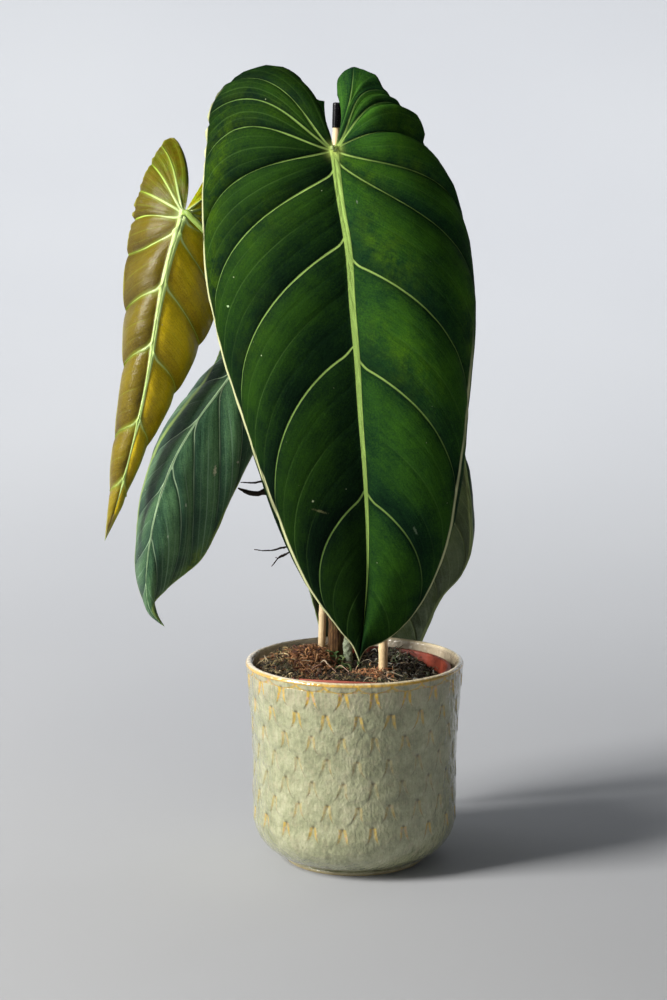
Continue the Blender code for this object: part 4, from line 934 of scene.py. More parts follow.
# The blades' lay-out is the part's own. Midribs and margins are in mm from the junction. rib and
# vein are half widths in mm at the junction, and knob is how much thicker the midrib starts.
# quilt, cheek, wave, scallop and nibble are how far in mm panels swell, halves bulge and margins
# wave, draw in and waver. The gain is painted light and shade: each half's colour is multiplied by
# it, darker for a half that faces the lamp and brighter for one turned away. fade is how much of
# the gain is lost towards the tip, where the blade is painted darker, and a fade below nothing
# paints a highlight there instead. flap is painted light gained at the margin by the notch, where
# the lobe lies in shade. hem says from which share of the margin to which a pale hem comes in. A
# patch is partly the leaf's own paler tone and partly painted light: how far out and along it
# lies, how wide and tall it is, and its strength. fold, curl and lobe set a half's depth, and
# notch bows its first row.
LEAVES = {
    "leaf_front": dict(
        junction=(-14.2, -50.0, 484.9), upper_side_to_camera=True, slot="velvet_leaf",
        midrib=((0, 0, 0), (4, -6, -31), (9, -10, -60), (12, -13, -100), (15, -14, -134),
                (17, -13, -167), (20, -10, -206), (22, -4, -246), (22, 3, -281),
                (20, 11, -311), (17, 20, -341)),
        veins=FRONT_VEINS, laid=FRONT_LAID, quilt=3.8, cheek=6.5, painted_light_gain=(0.78, 2.1),
        fade=(0.45, 0.36), hem=((0.16, 0.22), (0.52, 0.62)), flap=(7.5, 0.0),
        tint_and_painted_light=dict(left=((0.85, 0.33, 0.22, 0.12, 0.9), (0.85, 0.47, 0.16, 0.07, 0.8),
                        (0.45, 0.20, 0.25, 0.07, 0.5), (0.35, 0.52, 0.2, 0.06, 0.45),
                        (0.85, 0.08, 0.2, 0.05, 0.6), (0.6, 0.68, 0.25, 0.05, 0.3)),
                  right=((0.12, 0.42, 0.16, 0.08, 0.6), (0.22, 0.58, 0.16, 0.05, 0.6),
                         (0.25, 0.73, 0.2, 0.05, 0.5), (0.75, 0.20, 0.25, 0.05, 0.5),
                         (0.80, 0.55, 0.16, 0.08, 0.5), (0.50, 0.33, 0.2, 0.05, 0.4))),
        left=dict(fold=0.06, curl=0.20, lobe=0.20, notch=-0.05,
                  margin=((-6, 31), (-16.5, 36), (-20.5, 44), (-30, 52), (-47, 54), (-64, 47),
                          (-78, 33), (-84, 0), (-86, -42), (-84, -85), (-75, -127), (-58, -180),
                          (-39, -232), (-15, -290), (5, -319), (13, -330), (17, -341))),
        right=dict(fold=0.08, curl=0.22, lobe=0.18, notch=-0.12,
                   margin=((2, 35), (3, 47), (12, 53), (27, 47.5), (33.5, 38.5), (44, 28),
                           (57, 18), (61, -6), (70, -15), (77.5, -28), (84, -47), (89, -74),
                           (91.5, -103), (88, -158), (82, -211), (70, -274), (49, -313),
                           (32, -327), (22, -331), (17, -341))),
        wave=2.6, wave_count=11, rib=2.9, vein=0.64, scallop=0.5, nibble=0.9, knob=0.1),
    "leaf_young": dict(
        junction=(-113.4, -12.0, 443.3), upper_side_to_camera=False, slot="bronze_leaf",
        midrib=((0, 0, 0), (-10, -4, -31), (-17, -6, -63), (-23, -6, -98), (-30, -3, -131),
                (-38, 2, -161), (-46, 8, -189), (-58, 18, -223)),
        veins=YOUNG_VEINS, laid=dict(left=YOUNG_LAID, right=YOUNG_LAID), quilt=-3.2, cheek=2.0,
        painted_light_gain=(0.42, 2.1), fade=(-0.60, 0.30), hem=HEM_ALL_ROUND,
        tint_and_painted_light=dict(left=((0.4, 0.02, 0.8, 0.12, 2.4),), right=((0.5, 0.02, 0.8, 0.14, 2.4),)),
        left=dict(fold=0.34, curl=0.30, lobe=0.15, notch=0.11,
                  margin=((-5, 45), (-8.5, 49.3), (-12.5, 50.3), (-17, 46), (-23, 36), (-32, 15),
                          (-36, -1), (-40, -20), (-42, -38), (-43, -65), (-44, -104),
                          (-48.5, -139), (-53, -173), (-55, -199), (-58, -223))),
        right=dict(fold=0.40, curl=0.25, lobe=0.15, notch=0.0,
                   margin=((15, 27), (20, 24), (25, 12), (26, -14), (24, -44), (18, -70),
                           (4, -100), (-17, -139), (-36, -175), (-49, -204), (-58, -223))),
        wave=2.2, wave_count=10, rib=2.7, vein=0.95, scallop=2.6, nibble=0.9, knob=0.1),
    "leaf_left": dict(
        junction=(-67.0, 10.0, 362.2), upper_side_to_camera=True, slot="grey_leaf",
        midrib=((0, 0, 0), (-19, -10, -30), (-40, -15, -58), (-59, -16, -92), (-69, -14, -123),
                (-75, -10, -158), (-76, -7, -174), (-73, -4, -191), (-64, -2, -202)),
        veins=LEFT_VEINS, laid=dict(left=COMMON_LAID, right=COMMON_LAID), quilt=1.9, cheek=2.0,
        painted_light_gain=(1.05, 1.7), fade=(0.0, 0.25), hem=HEM_ALL_ROUND,
        tint_and_painted_light=dict(left=((0.9, 0.6, 0.1, 0.3, 0.3),), right=((1.0, 0.70, 0.09, 0.17, 2.4),)),
        left=dict(fold=0.45, curl=0.28, lobe=0.0, notch=-0.03,
                  margin=((-10, 21), (-16, 18), (-21, 1), (-33, -29), (-51.5, -53), (-70, -81),
                          (-82, -119), (-86, -150), (-87, -166), (-85, -178), (-81, -188),
                          (-74, -197), (-64, -202))),
        right=dict(fold=0.16, curl=0.22, lobe=0.1, notch=-0.06,
                   margin=((4, 29), (19, 32), (30, 15), (33, -12), (24, -39), (-2, -82),
                           (-23, -124), (-40, -158), (-63, -177), (-72, -188), (-64, -202))),
        wave=1.6, wave_count=8, rib=0.95, vein=0.38, scallop=0.3, nibble=0.3, knob=0.3),
    "leaf_back": dict(
        junction=(16.9, 100.0, 307.5), upper_side_to_camera=False, slot="olive_leaf",
        midrib=((0, 0, 0), (0, 12, -38), (1, 18, -91), (0, 18, -151), (-1, 12, -210),
                (-4, 2, -265)),
        veins=BACK_VEINS, laid=dict(left=COMMON_LAID, right=COMMON_LAID), quilt=1.9, cheek=0.0,
        painted_light_gain=(1.0, 1.0), fade=(0.0, 0.0), hem=HEM_ALL_ROUND,
        tint_and_painted_light=dict(left=((0.5, 0.75, 0.5, 0.15, 1.0),), right=((0.5, 0.75, 0.6, 0.16, 1.2),)),
        left=dict(fold=-0.08, curl=-0.14, lobe=0.1, notch=-0.06,
                  margin=((-4, 28), (-20, 35), (-36, 28), (-48, 5), (-54, -29), (-56, -73),
                          (-53, -111), (-46, -149), (-36, -186), (-22, -231), (-4, -265))),
        right=dict(fold=-0.08, curl=-0.14, lobe=0.1, notch=-0.06,
                   margin=((3, 28), (20, 35), (40, 21), (54, -2), (62.5, -42), (67.5, -81),
                           (67.5, -113), (62.5, -127), (48, -145), (38, -168), (26, -198),
                           (11, -235), (-4, -265))),
        wave=1.8, wave_count=8, rib=2.2, vein=0.7, scallop=0.4, nibble=0.3, knob=0.3),
}
HOOK_REACH = 5.0                    # how far a side vein starts back up the midrib
HOOK_OUT = 6.5                      # how far out it has swung off it
BEND_END = 0.85                     # power with which a row's bow falls off at the margin
PANEL_WIDE = 24.0                   # panels between side veins at least this wide swell fully
CHEEK_OUT = 0.33                    # where between midrib and margin a half bulges most
LOBE_END = 0.3                      # share of the margin along which the lobe's rise fades
BLADE_HALF = 0.30                   # half the blade's thickness
# rows between two side veins, and columns across half a blade, close together at the veins,
# the midrib and the margin
ROW_OFFSETS = (0.0, 0.012, 0.026, 0.045, 0.075, 0.12, 0.18, 0.25, 0.33, 0.42, 0.5)
COLUMNS = (0.0, 0.007, 0.014, 0.021, 0.029, 0.038, 0.05, 0.065, 0.085, 0.11, 0.14, 0.175, 0.21,
           0.25, 0.29, 0.33, 0.37, 0.41, 0.45, 0.49, 0.53, 0.57, 0.61, 0.65, 0.69, 0.73, 0.77,
           0.81, 0.845, 0.88, 0.91, 0.935, 0.955, 0.972, 0.984, 0.992, 0.997, 1.0)


def margin_depth(leaf, key, rib, margin, shares):
    """Depth of a half's margin at shares of its length: the midrib's own depth plus fold, curl
    and lobe times the straight way between the two, as the part's solid blade is laid out."""
    half = leaf[key]
    starts, ends = leaf["laid"][key]
    place = np.linspace(0.0, len(starts) - 1.0, 500)
    along = eased(ends, place)
    origin = read_line(rib, eased(starts, place))
    length = np.linalg.norm(read_line(margin, along) - origin[:, (0, 2)], axis=1)
    rise = half["fold"] + half["curl"] + half["lobe"] * np.clip(1.0 - along / LOBE_END, 0.0, 1.0)
    return np.interp(shares, along, origin[:, 1] + length * rise)


def from_line(points, line):
    """How far every point lies from a line, square to it, and the share of it that is nearest.
    Past the ends it is the straight way."""
    gap = points[..., None, :] - line
    nearest = (gap**2).sum(-1).argmin(-1)
    gap = np.take_along_axis(gap, nearest[..., None, None], axis=-2)[..., 0, :]
    tangent = unit(np.gradient(line, axis=0))[nearest]
    inner = (nearest > 0) & (nearest < len(line) - 1)
    along = np.where(inner, (gap * tangent).sum(-1), 0.0)
    return np.linalg.norm(gap - along[..., None] * tangent, axis=-1), nearest / (len(line) - 1.0)


def half_blade(leaf, key, side):
    """Middle surface of one half of a blade, and what its finish needs.

    Rows follow the side veins from the midrib to the margin: a point is the straight way between
    the two, bowed towards the leaf's base by t^lean (1 - t)^0.85. Near the midrib a row swings
    back up along it by a square of the distance left. Depth goes from the midrib's own to the
    margin's as fold t + curl t^2 does, plus a wave along the margin, less a bulge that makes the
    midrib lie in a valley. The margin is drawn in where a vein meets it and wavers a little near
    the base. Then the panel between two veins swells along the surface's own direction by half a
    sine wave, which fades out at the midrib and the margin and is low where the panel is narrow.
    """
    veins = leaf["veins"][key]
    half = leaf[key]
    count = len(veins["starts"]) - 1
    offsets = np.array(ROW_OFFSETS)
    offsets = np.concatenate((offsets, 1.0 - offsets[-2:0:-1]))
    place = np.append((np.arange(count)[:, None] + offsets).ravel(), count)
    start = eased(veins["starts"], place)
    along = eased(veins["ends"], place)
    bow = eased((half["notch"],) + veins["bows"][1:], place)[:, None, None]
    lean = eased(veins["leans"], place)[:, None, None]
    both = np.mean([eased(leaf["veins"][k]["starts"], place) for k in ("left", "right")], axis=0)

    rib = smooth_line(leaf["midrib"], 401)
    margin = smooth_line(half["margin"], 801)
    rib_length = np.linalg.norm(np.diff(rib, axis=0), axis=1).sum()

    def hooked(share):
        """A share of the midrib moved back by HOOK_REACH, and less near its two ends."""
        return share - HOOK_REACH / rib_length * step(0.0, 0.03, share) * step(1.0, 0.85, share)

    origin = read_line(rib, start)
    way = read_line(margin, along) - origin[:, (0, 2)]
    length = np.linalg.norm(way, axis=1)
    pinch = leaf["scallop"] * (1.0 - np.abs(np.sin(np.pi * place)))**2 * np.sin(np.pi * along)
    pinch = pinch + leaf["nibble"] * np.sin(np.pi * along)**0.3 * ripple(
        along[:, None] * 300.0, 8.0, 12 + side, 7) * step(0.34, 0.2, along)
    way = way * (1.0 - pinch / np.maximum(length, 3.0))[:, None]
    normal = side * np.stack([-way[:, 1], way[:, 0]], axis=-1)
    t = np.array(COLUMNS)[None, :, None]
    top = lean / (lean + BEND_END)
    bend = (t / top)**lean * ((1.0 - t) / (1.0 - top))**BEND_END
    flat = origin[:, None, (0, 2)] + way[:, None] * t + bow * bend * normal[:, None]
    t = t[..., 0]
    along = along[:, None]
    length = length[:, None]
    curl = half["curl"] + half["lobe"] * np.clip(1.0 - along / LOBE_END, 0.0, 1.0)
    fade = np.sin(np.pi * along)
    wave = leaf["wave"] * t**3 * fade * np.sin(np.pi * leaf["wave_count"] * along + side)
    rise = margin_depth(leaf, key, rib, margin, along) - origin[:, 1:2]
    depth = origin[:, 1:2] + rise * (half["fold"] * t + curl * t**2) / (half["fold"] + curl) + wave
    cheek = (t / CHEEK_OUT)**0.9 * ((1.0 - t) / (1.0 - CHEEK_OUT))**1.8 * fade**0.5
    depth = depth - leaf["cheek"] * cheek
    near = np.clip(1.0 - t * length / HOOK_OUT, 0.0, 1.0)**2
    back = read_line(rib, hooked(start)) - origin
    points = np.stack([flat[..., 0] + back[:, :1] * near, depth + back[:, 1:2] * near,
                       flat[..., 1] + back[:, 2:] * near], axis=-1)
    points[:, 0] = read_line(rib, hooked(both))

    width = np.linalg.norm(np.gradient(points, place, axis=0), axis=-1)
    swell = np.abs(np.sin(np.pi * place))[:, None]**0.75 * np.sin(np.pi * t**0.8) * fade**0.5
    swell = swell * np.clip(width / PANEL_WIDE, 0.0, 1.0)
    points = points + surface_way(points, leaf, side) * (leaf["quilt"] * swell)[..., None]
    gap = np.gradient(points, place, axis=0)
    ray = unit(np.gradient(points, t[0], axis=1))
    spacing = np.linalg.norm(gap - (gap * ray).sum(-1, keepdims=True) * ray, axis=-1)
    nearest = np.clip(np.round(place), 1, count - 1)[:, None]
    from_vein = np.abs(place[:, None] - nearest) * spacing
    from_rib, rib_share = from_line(points, rib)
    from_edge = np.minimum((1.0 - t) * length, place[:, None] * spacing)
    from_rim = from_line(points[..., (0, 2)], margin[::2])[0]
    return dict(points=points, place=place[:, None] * np.ones_like(t), t=t * np.ones_like(length),
                along=along * np.ones_like(t), length=length * np.ones_like(t), spacing=spacing,
                from_vein=from_vein, from_rib=from_rib, rib_share=rib_share, from_edge=from_edge,
                from_rim=from_rim)


def surface_way(points, leaf, side):
    """Directions square to a half blade, towards its upper side, from the grid's own slopes.
    Where rows run together at the junction or the tip, the column's mean direction is used."""
    down = np.gradient(points, axis=0)
    out = np.gradient(points, axis=1)
    way = np.cross(down, out)
    if (side > 0) != leaf["upper_side_to_camera"]:
        way = -way
    size = np.linalg.norm(way, axis=-1)
    weak = size < 1e-3 * np.median(size)
    best = unit(np.where(weak[..., None], 0.0, way).sum(axis=0))
    way = unit(way)
    way[weak] = 0.0
    return np.where((np.linalg.norm(way, axis=-1) < 0.5)[..., None], best, way)


def blade(name, leaf, finish):
    """A leaf blade: two faces laid off the middle surface, which meet in a round edge.

    The upper face sinks at the side veins and carries a low midrib, flat across the valley that it
    lies in. The lower face has each vein as a raised thread and the midrib as a round bar. Both
    are the half thickness plus sums of bell curves of the distance from the vein.
    """
    sides = (("left", -1), ("right", 1))
    halves = [half_blade(leaf, key, side) for key, side in sides]
    ways = [surface_way(half["points"], leaf, side) for half, (_, side) in zip(halves, sides)]
    # both halves take one direction along the midrib, read a few columns out from it
    seam = unit(ways[0][:, 4] + ways[1][:, 4])
    parts = []
    for pick, (half, way, (key, side)) in enumerate(zip(halves, ways, sides)):
        blend = np.clip(half["from_rib"][..., None] / 3.0, 0.0, 1.0)
        way = unit(seam[:, None] * (1.0 - blend) + way * blend)
        way[:, 0] = seam
        taper = 1.0 - half["rib_share"]
        rib = leaf["rib"] * (0.12 + 0.88 * taper**0.9)
        bump = 0.55 * rib / 3.0
        rib = rib * (1.0 + leaf["knob"] * np.exp(-(half["rib_share"] / 0.012)**2))
        vein = leaf["vein"] * (0.30 + 0.70 * (1.0 - half["t"])**0.8)
        on_rib = step(1.05, 0.72, half["from_rib"] / rib)
        bar = np.sqrt(np.clip(1.0 - (half["from_rib"] / rib)**2, 0.0, 1.0))
        tent = np.clip(1.0 - half["from_rib"] / rib, 0.0, 1.0)
        on_vein = np.exp(-(half["from_vein"] / vein)**2)
        wide_vein = np.exp(-(half["from_vein"] / (2.6 * vein))**2)
        live = step(0.0, 0.05, half["t"]) * step(0.0, 2.0, half["from_edge"])
        between = np.abs(half["place"] - np.floor(half["place"]) - 0.5)
        rippled = ripple(half["points"], 9.0, 90) * 0.10 + ripple(half["points"], 22.0, 91) * 0.2
        edge = np.sqrt(np.clip(1.0 - (1.0 - np.clip(half["from_edge"] / 0.6, 0, 1))**2, 0, 1))
        lay = np.stack((half["t"] * half["length"], half["place"] * 30.0,
                        np.full_like(half["t"], 70.0 * side)), axis=-1)
        down = half["place"] - np.floor(half["place"])
        # painted light and shade: a panel is lighter just below a side vein and half-way out, and
        # darker just above the next vein
        painted_crest_light = np.sin(np.pi * down**0.55)**0.9 * (0.55 + 0.45 * np.sin(np.pi * half["t"]**0.9))
        # patches partly of the leaf's own paler tone and partly painted light
        tint_and_painted_light = sum(strength * np.exp(-((half["t"] - out) / wide)**2
                                     - ((half["along"] - at) / tall)**2)
                   for out, at, wide, tall, strength in leaf["tint_and_painted_light"][key])
        # flap is painted light near the notch, where the lobe lies in shade; the gain is painted
        # light and shade for the half, taken off towards the tip by fade, or added there as a
        # painted highlight
        flap = 1.0 + leaf.get("flap", (0.0, 0.0))[pick] * half["t"] * np.exp(
            -(half["along"] / 0.04)**2)
        painted_light_gain = leaf["painted_light_gain"][pick] * flap * (
            1.0 - leaf["fade"][pick] * step(0.2, 0.9, half["rib_share"]))
        sunk = 0.30 * wide_vein - 0.12 * on_vein
        raised = 0.62 * on_vein * leaf["vein"] / 0.7 + 0.15 * wide_vein
        above = BLADE_HALF + live * (rippled - sunk) + bump * on_rib + 0.20 * rib * tent
        below = BLADE_HALF + live * (raised - rippled) + 0.85 * rib * bar
        for upper, relief in ((True, above), (False, -below)):
            sheet = half["points"] + way * (relief * edge)[..., None]
            values = {"vein_off": np.minimum(half["from_vein"] / vein, 8.0),
                      "rib_off": np.minimum(half["from_rib"] / rib, 8.0),
                      "edge_off": half["from_edge"], "mid_off": between * half["spacing"],
                      "quarter_off": np.abs(between - 0.25) * half["spacing"],
                      "out": half["t"], "painted_crest_light": painted_crest_light, "tint_and_painted_light": tint_and_painted_light,
                      "dim": step(0.25, 0.85, half["rib_share"]),
                      "painted_light_gain": painted_light_gain, "hem": step(*leaf["hem"][pick], half["along"]),
                      "rim_off": half["from_rim"],
                      # the junction's pale colour, painted brighter as painted light where it lies
                      # in shade
                      "heart": np.exp(-((half["points"]**2).sum(-1) / 4.2**2)),
                      "upper": np.full_like(on_rib, upper), "lay": lay}
            parts.append((sheet, values))
    points, faces, values = joined(parts, wrap=False)
    add_piece(name.replace("leaf", "blade"), points + np.array(leaf["junction"]), faces, finish,
              (name,), values, sharp=70.0, weld=0.02)


# Each leaf's two faces: the panels' dark, mid and light, the patches of paler tone and painted
# light, the side veins, the midrib's two tones and the margin's hem, how much of each line shows,
# and on the upper face the flecks, how rare they are, how deep it pleats, and scars as place, size,
# turn and colour. A face marked for the gain takes the painted light and shade of its half's gain,
# and the heart colour is the junction's pale colour, painted brighter still where it lies in shade.
LEAF_COLOURS = {
    "leaf_front": dict(
        upper=dict(dark=(0.0010, 0.0055, 0.0040), mid=(0.0052, 0.0210, 0.0060),
                   light=(0.020, 0.064, 0.0055), tint_and_painted_light=(0.062, 0.132, 0.001), painted_light_gain=True,
                   vein=(0.12, 0.24, 0.055), rib=(0.36, 0.53, 0.13), rib_dark=(0.29, 0.45, 0.10),
                   edge=(0.62, 0.64, 0.34), heart=(0.60, 0.74, 0.17), vein_share=0.50,
                   fine_share=0.14, edge_share=0.85,
                   fleck=(0.30, 0.36, 0.20), speck=0.82, pleat=0.35,
                   marks=(((-23.3, 252.0), (13.0, 2.2), -16.0, (0.075, 0.080, 0.035)),
                          ((-27.9, 258.8), (2.0, 1.6), 0.0, (0.30, 0.34, 0.20)),
                          ((-83.2, 384.7), (1.8, 1.8), 0.0, (0.42, 0.60, 0.30)),
                          ((39.0, 238.7), (2.2, 8.0), 24.0, (0.075, 0.110, 0.065)),
                          ((0.6, 452.0), (1.6, 3.0), 15.0, (0.12, 0.16, 0.10)))),
        under=dict(dark=(0.06, 0.09, 0.04), mid=(0.10, 0.14, 0.06), light=(0.15, 0.19, 0.09),
                   tint_and_painted_light=(0.15, 0.20, 0.05), vein=(0.26, 0.33, 0.14), rib=(0.34, 0.42, 0.16),
                   rib_dark=(0.28, 0.36, 0.14), edge=(0.30, 0.38, 0.14), vein_share=0.7,
                   fine_share=0.3, edge_share=0.8)),
    "leaf_young": dict(
        upper=dict(dark=(0.07, 0.05, 0.012), mid=(0.14, 0.10, 0.02), light=(0.24, 0.18, 0.03),
                   tint_and_painted_light=(0.20, 0.22, 0.03), vein=(0.34, 0.42, 0.10), rib=(0.42, 0.52, 0.14),
                   rib_dark=(0.34, 0.44, 0.12), edge=(0.34, 0.34, 0.10), vein_share=0.7,
                   fine_share=0.2, edge_share=0.8, fleck=(0.35, 0.30, 0.15), pleat=0.25),
        under=dict(dark=(0.095, 0.055, 0.0005), mid=(0.200, 0.140, 0.001),
                   light=(0.36, 0.27, 0.004), tint_and_painted_light=(0.26, 0.36, 0.010), vein=(0.34, 0.50, 0.04),
                   rib=(0.62, 0.76, 0.34), rib_dark=(0.42, 0.62, 0.12), edge=(0.34, 0.34, 0.05),
                   vein_share=0.75, fine_share=0.12, edge_share=0.5, painted_light_gain=True)),
    "leaf_left": dict(
        upper=dict(dark=(0.006, 0.020, 0.012), mid=(0.019, 0.055, 0.026),
                   light=(0.070, 0.150, 0.058), tint_and_painted_light=(0.170, 0.240, 0.006),
                   vein=(0.20, 0.32, 0.20), rib=(0.46, 0.64, 0.38), rib_dark=(0.36, 0.54, 0.27),
                   edge=(0.26, 0.36, 0.08), vein_share=0.75, fine_share=0.60, edge_share=0.7,
                   painted_light_gain=True, fleck=(0.45, 0.52, 0.40), speck=0.77,
                   marks=(((-95.1, 269.7), (2.6, 9.0), -8.0, (0.50, 0.50, 0.32)),
                          ((-79.6, 275.1), (2.0, 2.4), 0.0, (0.50, 0.50, 0.38)),
                          ((-114.7, 247.0), (1.4, 3.4), 0.0, (0.36, 0.42, 0.30)),
                          ((-127.2, 225.0), (1.2, 4.0), 0.0, (0.36, 0.42, 0.30)))),
        under=dict(dark=(0.07, 0.09, 0.04), mid=(0.11, 0.14, 0.06), light=(0.17, 0.20, 0.09),
                   tint_and_painted_light=(0.15, 0.20, 0.05), vein=(0.26, 0.33, 0.14), rib=(0.34, 0.42, 0.18),
                   rib_dark=(0.28, 0.36, 0.14), edge=(0.28, 0.34, 0.12), vein_share=0.8,
                   fine_share=0.3, edge_share=0.8)),
    "leaf_back": dict(
        upper=dict(dark=(0.006, 0.022, 0.010), mid=(0.016, 0.050, 0.018),
                   light=(0.045, 0.105, 0.030), tint_and_painted_light=(0.05, 0.11, 0.01), vein=(0.16, 0.28, 0.11),
                   rib=(0.30, 0.46, 0.16), rib_dark=(0.24, 0.38, 0.13), edge=(0.26, 0.34, 0.12),
                   vein_share=0.6, fine_share=0.12, edge_share=0.8, fleck=(0.28, 0.32, 0.18)),
        under=dict(dark=(0.010, 0.018, 0.003), mid=(0.027, 0.045, 0.010),
                   light=(0.066, 0.094, 0.028), tint_and_painted_light=(0.14, 0.18, 0.11), vein=(0.15, 0.19, 0.09),
                   rib=(0.24, 0.28, 0.13), rib_dark=(0.20, 0.24, 0.11), edge=(0.22, 0.27, 0.10),
                   vein_share=0.8, fine_share=0.3, edge_share=0.6)),
}


def leaves():
    """All four leaves, each with its own skin: velvety, glossy or satin."""
    skins = {"leaf_front": dict(Roughness=0.75, Specular_IOR_Level=0.03),
             "leaf_young": dict(Roughness=0.45, Specular_IOR_Level=0.08, Coat_Weight=0.36,
                                Coat_Roughness=0.12),
             "leaf_left": dict(Roughness=0.50, Sheen_Weight=0.03, Sheen_Roughness=0.45,
                               Sheen_Tint=(0.70, 0.85, 0.80, 1.0), Specular_IOR_Level=0.20),
             "leaf_back": dict(Roughness=0.48, Sheen_Weight=0.04, Sheen_Roughness=0.4,
                               Specular_IOR_Level=0.3)}
    for name, leaf in LEAVES.items():
        colours = LEAF_COLOURS[name]
        finish = leaf_finish(leaf["slot"], colours["upper"], colours["under"], **skins[name])
        blade(name, leaf, finish)


# Potting mix and moss
NURSERY_CENTRE = np.array([3.0, -4.0])
LIP_MIDDLE = math.radians(258.0)    # where the leaning nursery pot stands highest
LIP_HALF = math.radians(70.0)
LIP_RADIUS = 60.6
LIP_HEIGHT = 134.9
LIP_RISE = 1.6
LIP_RISE_WIDE = math.radians(34.0)
WALL_REACH = 68.4                   # how far out a strand may lie inside the glazed pot
SOIL_FLOOR = 10.7
SOIL_SHOULDER = 124.0               # height at which the mix leaves the wall
SOIL_LEVEL = 128.0
SOIL_LIMIT = 57.0                   # how far out chips and moss stand, round the nursery pot's axis
SOIL_LUMPS = ((1.0, 17.0, 3), (0.75, 6.5, 4), (0.5, 2.6, 5), (0.3, 1.3, 6))
# mounds and hollows: x, y, width and height
SOIL_MOUNDS = ((-34.0, 12.0, 21.0, 11.0), (-20.0, 42.0, 20.0, 5.0), (-8.0, -34.0, 24.0, 3.0),
               (24.0, 36.0, 18.0, 8.0), (48.0, -6.0, 18.0, -7.0), (0.0, 2.0, 14.0, -3.0))


def nursery_radius(z):
    """Inner radius of the nursery pot's wall, a cone of 38 mm at 8.8 mm and 61.5 mm at 135.5 mm
    outside, less 1.8 mm."""
    return 38.0 + (61.5 - 38.0) * (z - 8.8) / (135.5 - 8.8) - 1.8


def ground(x, y):
    """Height of the potting mix: the level top plus a bell-shaped mound for each table row."""
    z = np.full(np.shape(x), SOIL_LEVEL)
    for middle_x, middle_y, width, height in SOIL_MOUNDS:
        z = z + height * np.exp(-((x - middle_x)**2 + (y - middle_y)**2) / width**2)
    return z


def potting_mix():
    """Potting mix: rings from the floor up the wall and in over the lumpy top.

    The top's height is the ground plus four sizes of soft noise, the smallest for crumbs.
    """
    sides = 260
    angle = TURN * np.arange(sides) / sides
    wall_z = np.linspace(12.0, SOIL_SHOULDER, 8)
    top = nursery_radius(SOIL_SHOULDER) * np.sqrt(np.linspace(1.0, 0.0, 90))
    radius = np.concatenate(([0.0, nursery_radius(SOIL_FLOOR)], nursery_radius(wall_z), top))
    z = np.concatenate(([SOIL_FLOOR, SOIL_FLOOR], wall_z, np.full(90, SOIL_LEVEL)))
    points = around(radius[:, None], angle, z[:, None], NURSERY_CENTRE)
    x, y, z = np.moveaxis(points, -1, 0)
    surface = points * (1.0, 1.0, 0.0)
    lumps = sum(height * ripple(surface, size, seed) for height, size, seed in SOIL_LUMPS)
    on_top = np.arange(len(radius))[:, None] >= len(radius) - len(top)
    points[..., 2] = np.where(on_top, ground(x, y) + lumps, z)
    add_piece("potting_mix", points, grid_faces(len(radius), sides, wrap=True), earth_finish(),
              ("soil",), sharp=80.0)


def tinted(count, palette, rng, spread=0.25):
    """A colour for each of count repeats, drawn from a palette and lightened or darkened."""
    base = np.array(palette)[rng.integers(0, len(palette), count)]
    return base * rng.uniform(1.0 - spread, 1.0 + spread, (count, 1))


def chips():
    """Bark chips and grit: a ten-sided lump stretched, turned and laid on the ground.

    The lump is a ring of five points between two poles, each pushed in or out at random. A chip
    is that lump times three random lengths and a random turn, with its middle at the ground.
    """
    rng = np.random.default_rng(21)
    count = 420
    spin = TURN * np.arange(5) / 5
    ring = np.stack((np.cos(spin), np.sin(spin), np.zeros(5)), axis=-1)
    lump = np.vstack(([(0.0, 0.0, 1.0)], ring, [(0.0, 0.0, -1.0)]))
    faces = np.array([(0, 1 + k, 1 + (k + 1) % 5) for k in range(5)]
                     + [(6, 1 + (k + 1) % 5, 1 + k) for k in range(5)])
    shape = lump[None] * rng.uniform(0.7, 1.25, (count, 7, 1))
    size = rng.uniform(0.7, 2.3, (count, 1)) * rng.uniform(0.3, 1.0, (count, 3))
    frames = np.linalg.qr(rng.normal(size=(count, 3, 3)))[0]
    shape = np.einsum("nij,nvj->nvi", frames, shape * size[:, None])
    r = SOIL_LIMIT * np.sqrt(rng.uniform(0.0, 1.0, count))
    a = rng.uniform(0.0, TURN, count)
    middle = around(r, a, 0.0, NURSERY_CENTRE)
    middle[:, 2] = ground(middle[:, 0], middle[:, 1]) + rng.uniform(0.2, 1.8, count)
    points = shape + middle[:, None]
    every = (np.arange(count)[:, None, None] * 7 + faces).reshape(-1, 3)
    palette = ((0.030, 0.016, 0.010), (0.075, 0.038, 0.020), (0.13, 0.065, 0.032),
               (0.020, 0.014, 0.012), (0.050, 0.045, 0.042), (0.16, 0.15, 0.15))
    tint = np.repeat(tinted(count, palette, rng)[:, None], 7, axis=1).reshape(-1, 3)
    add_piece("bark_chips", points.reshape(-1, 3), every,
              tinted_finish("bark", (0.5, 0.45, 0.42), 1.4, 0.4, Roughness=0.9), (),
              {"tint": tint}, sharp=25.0, weld=0.0)


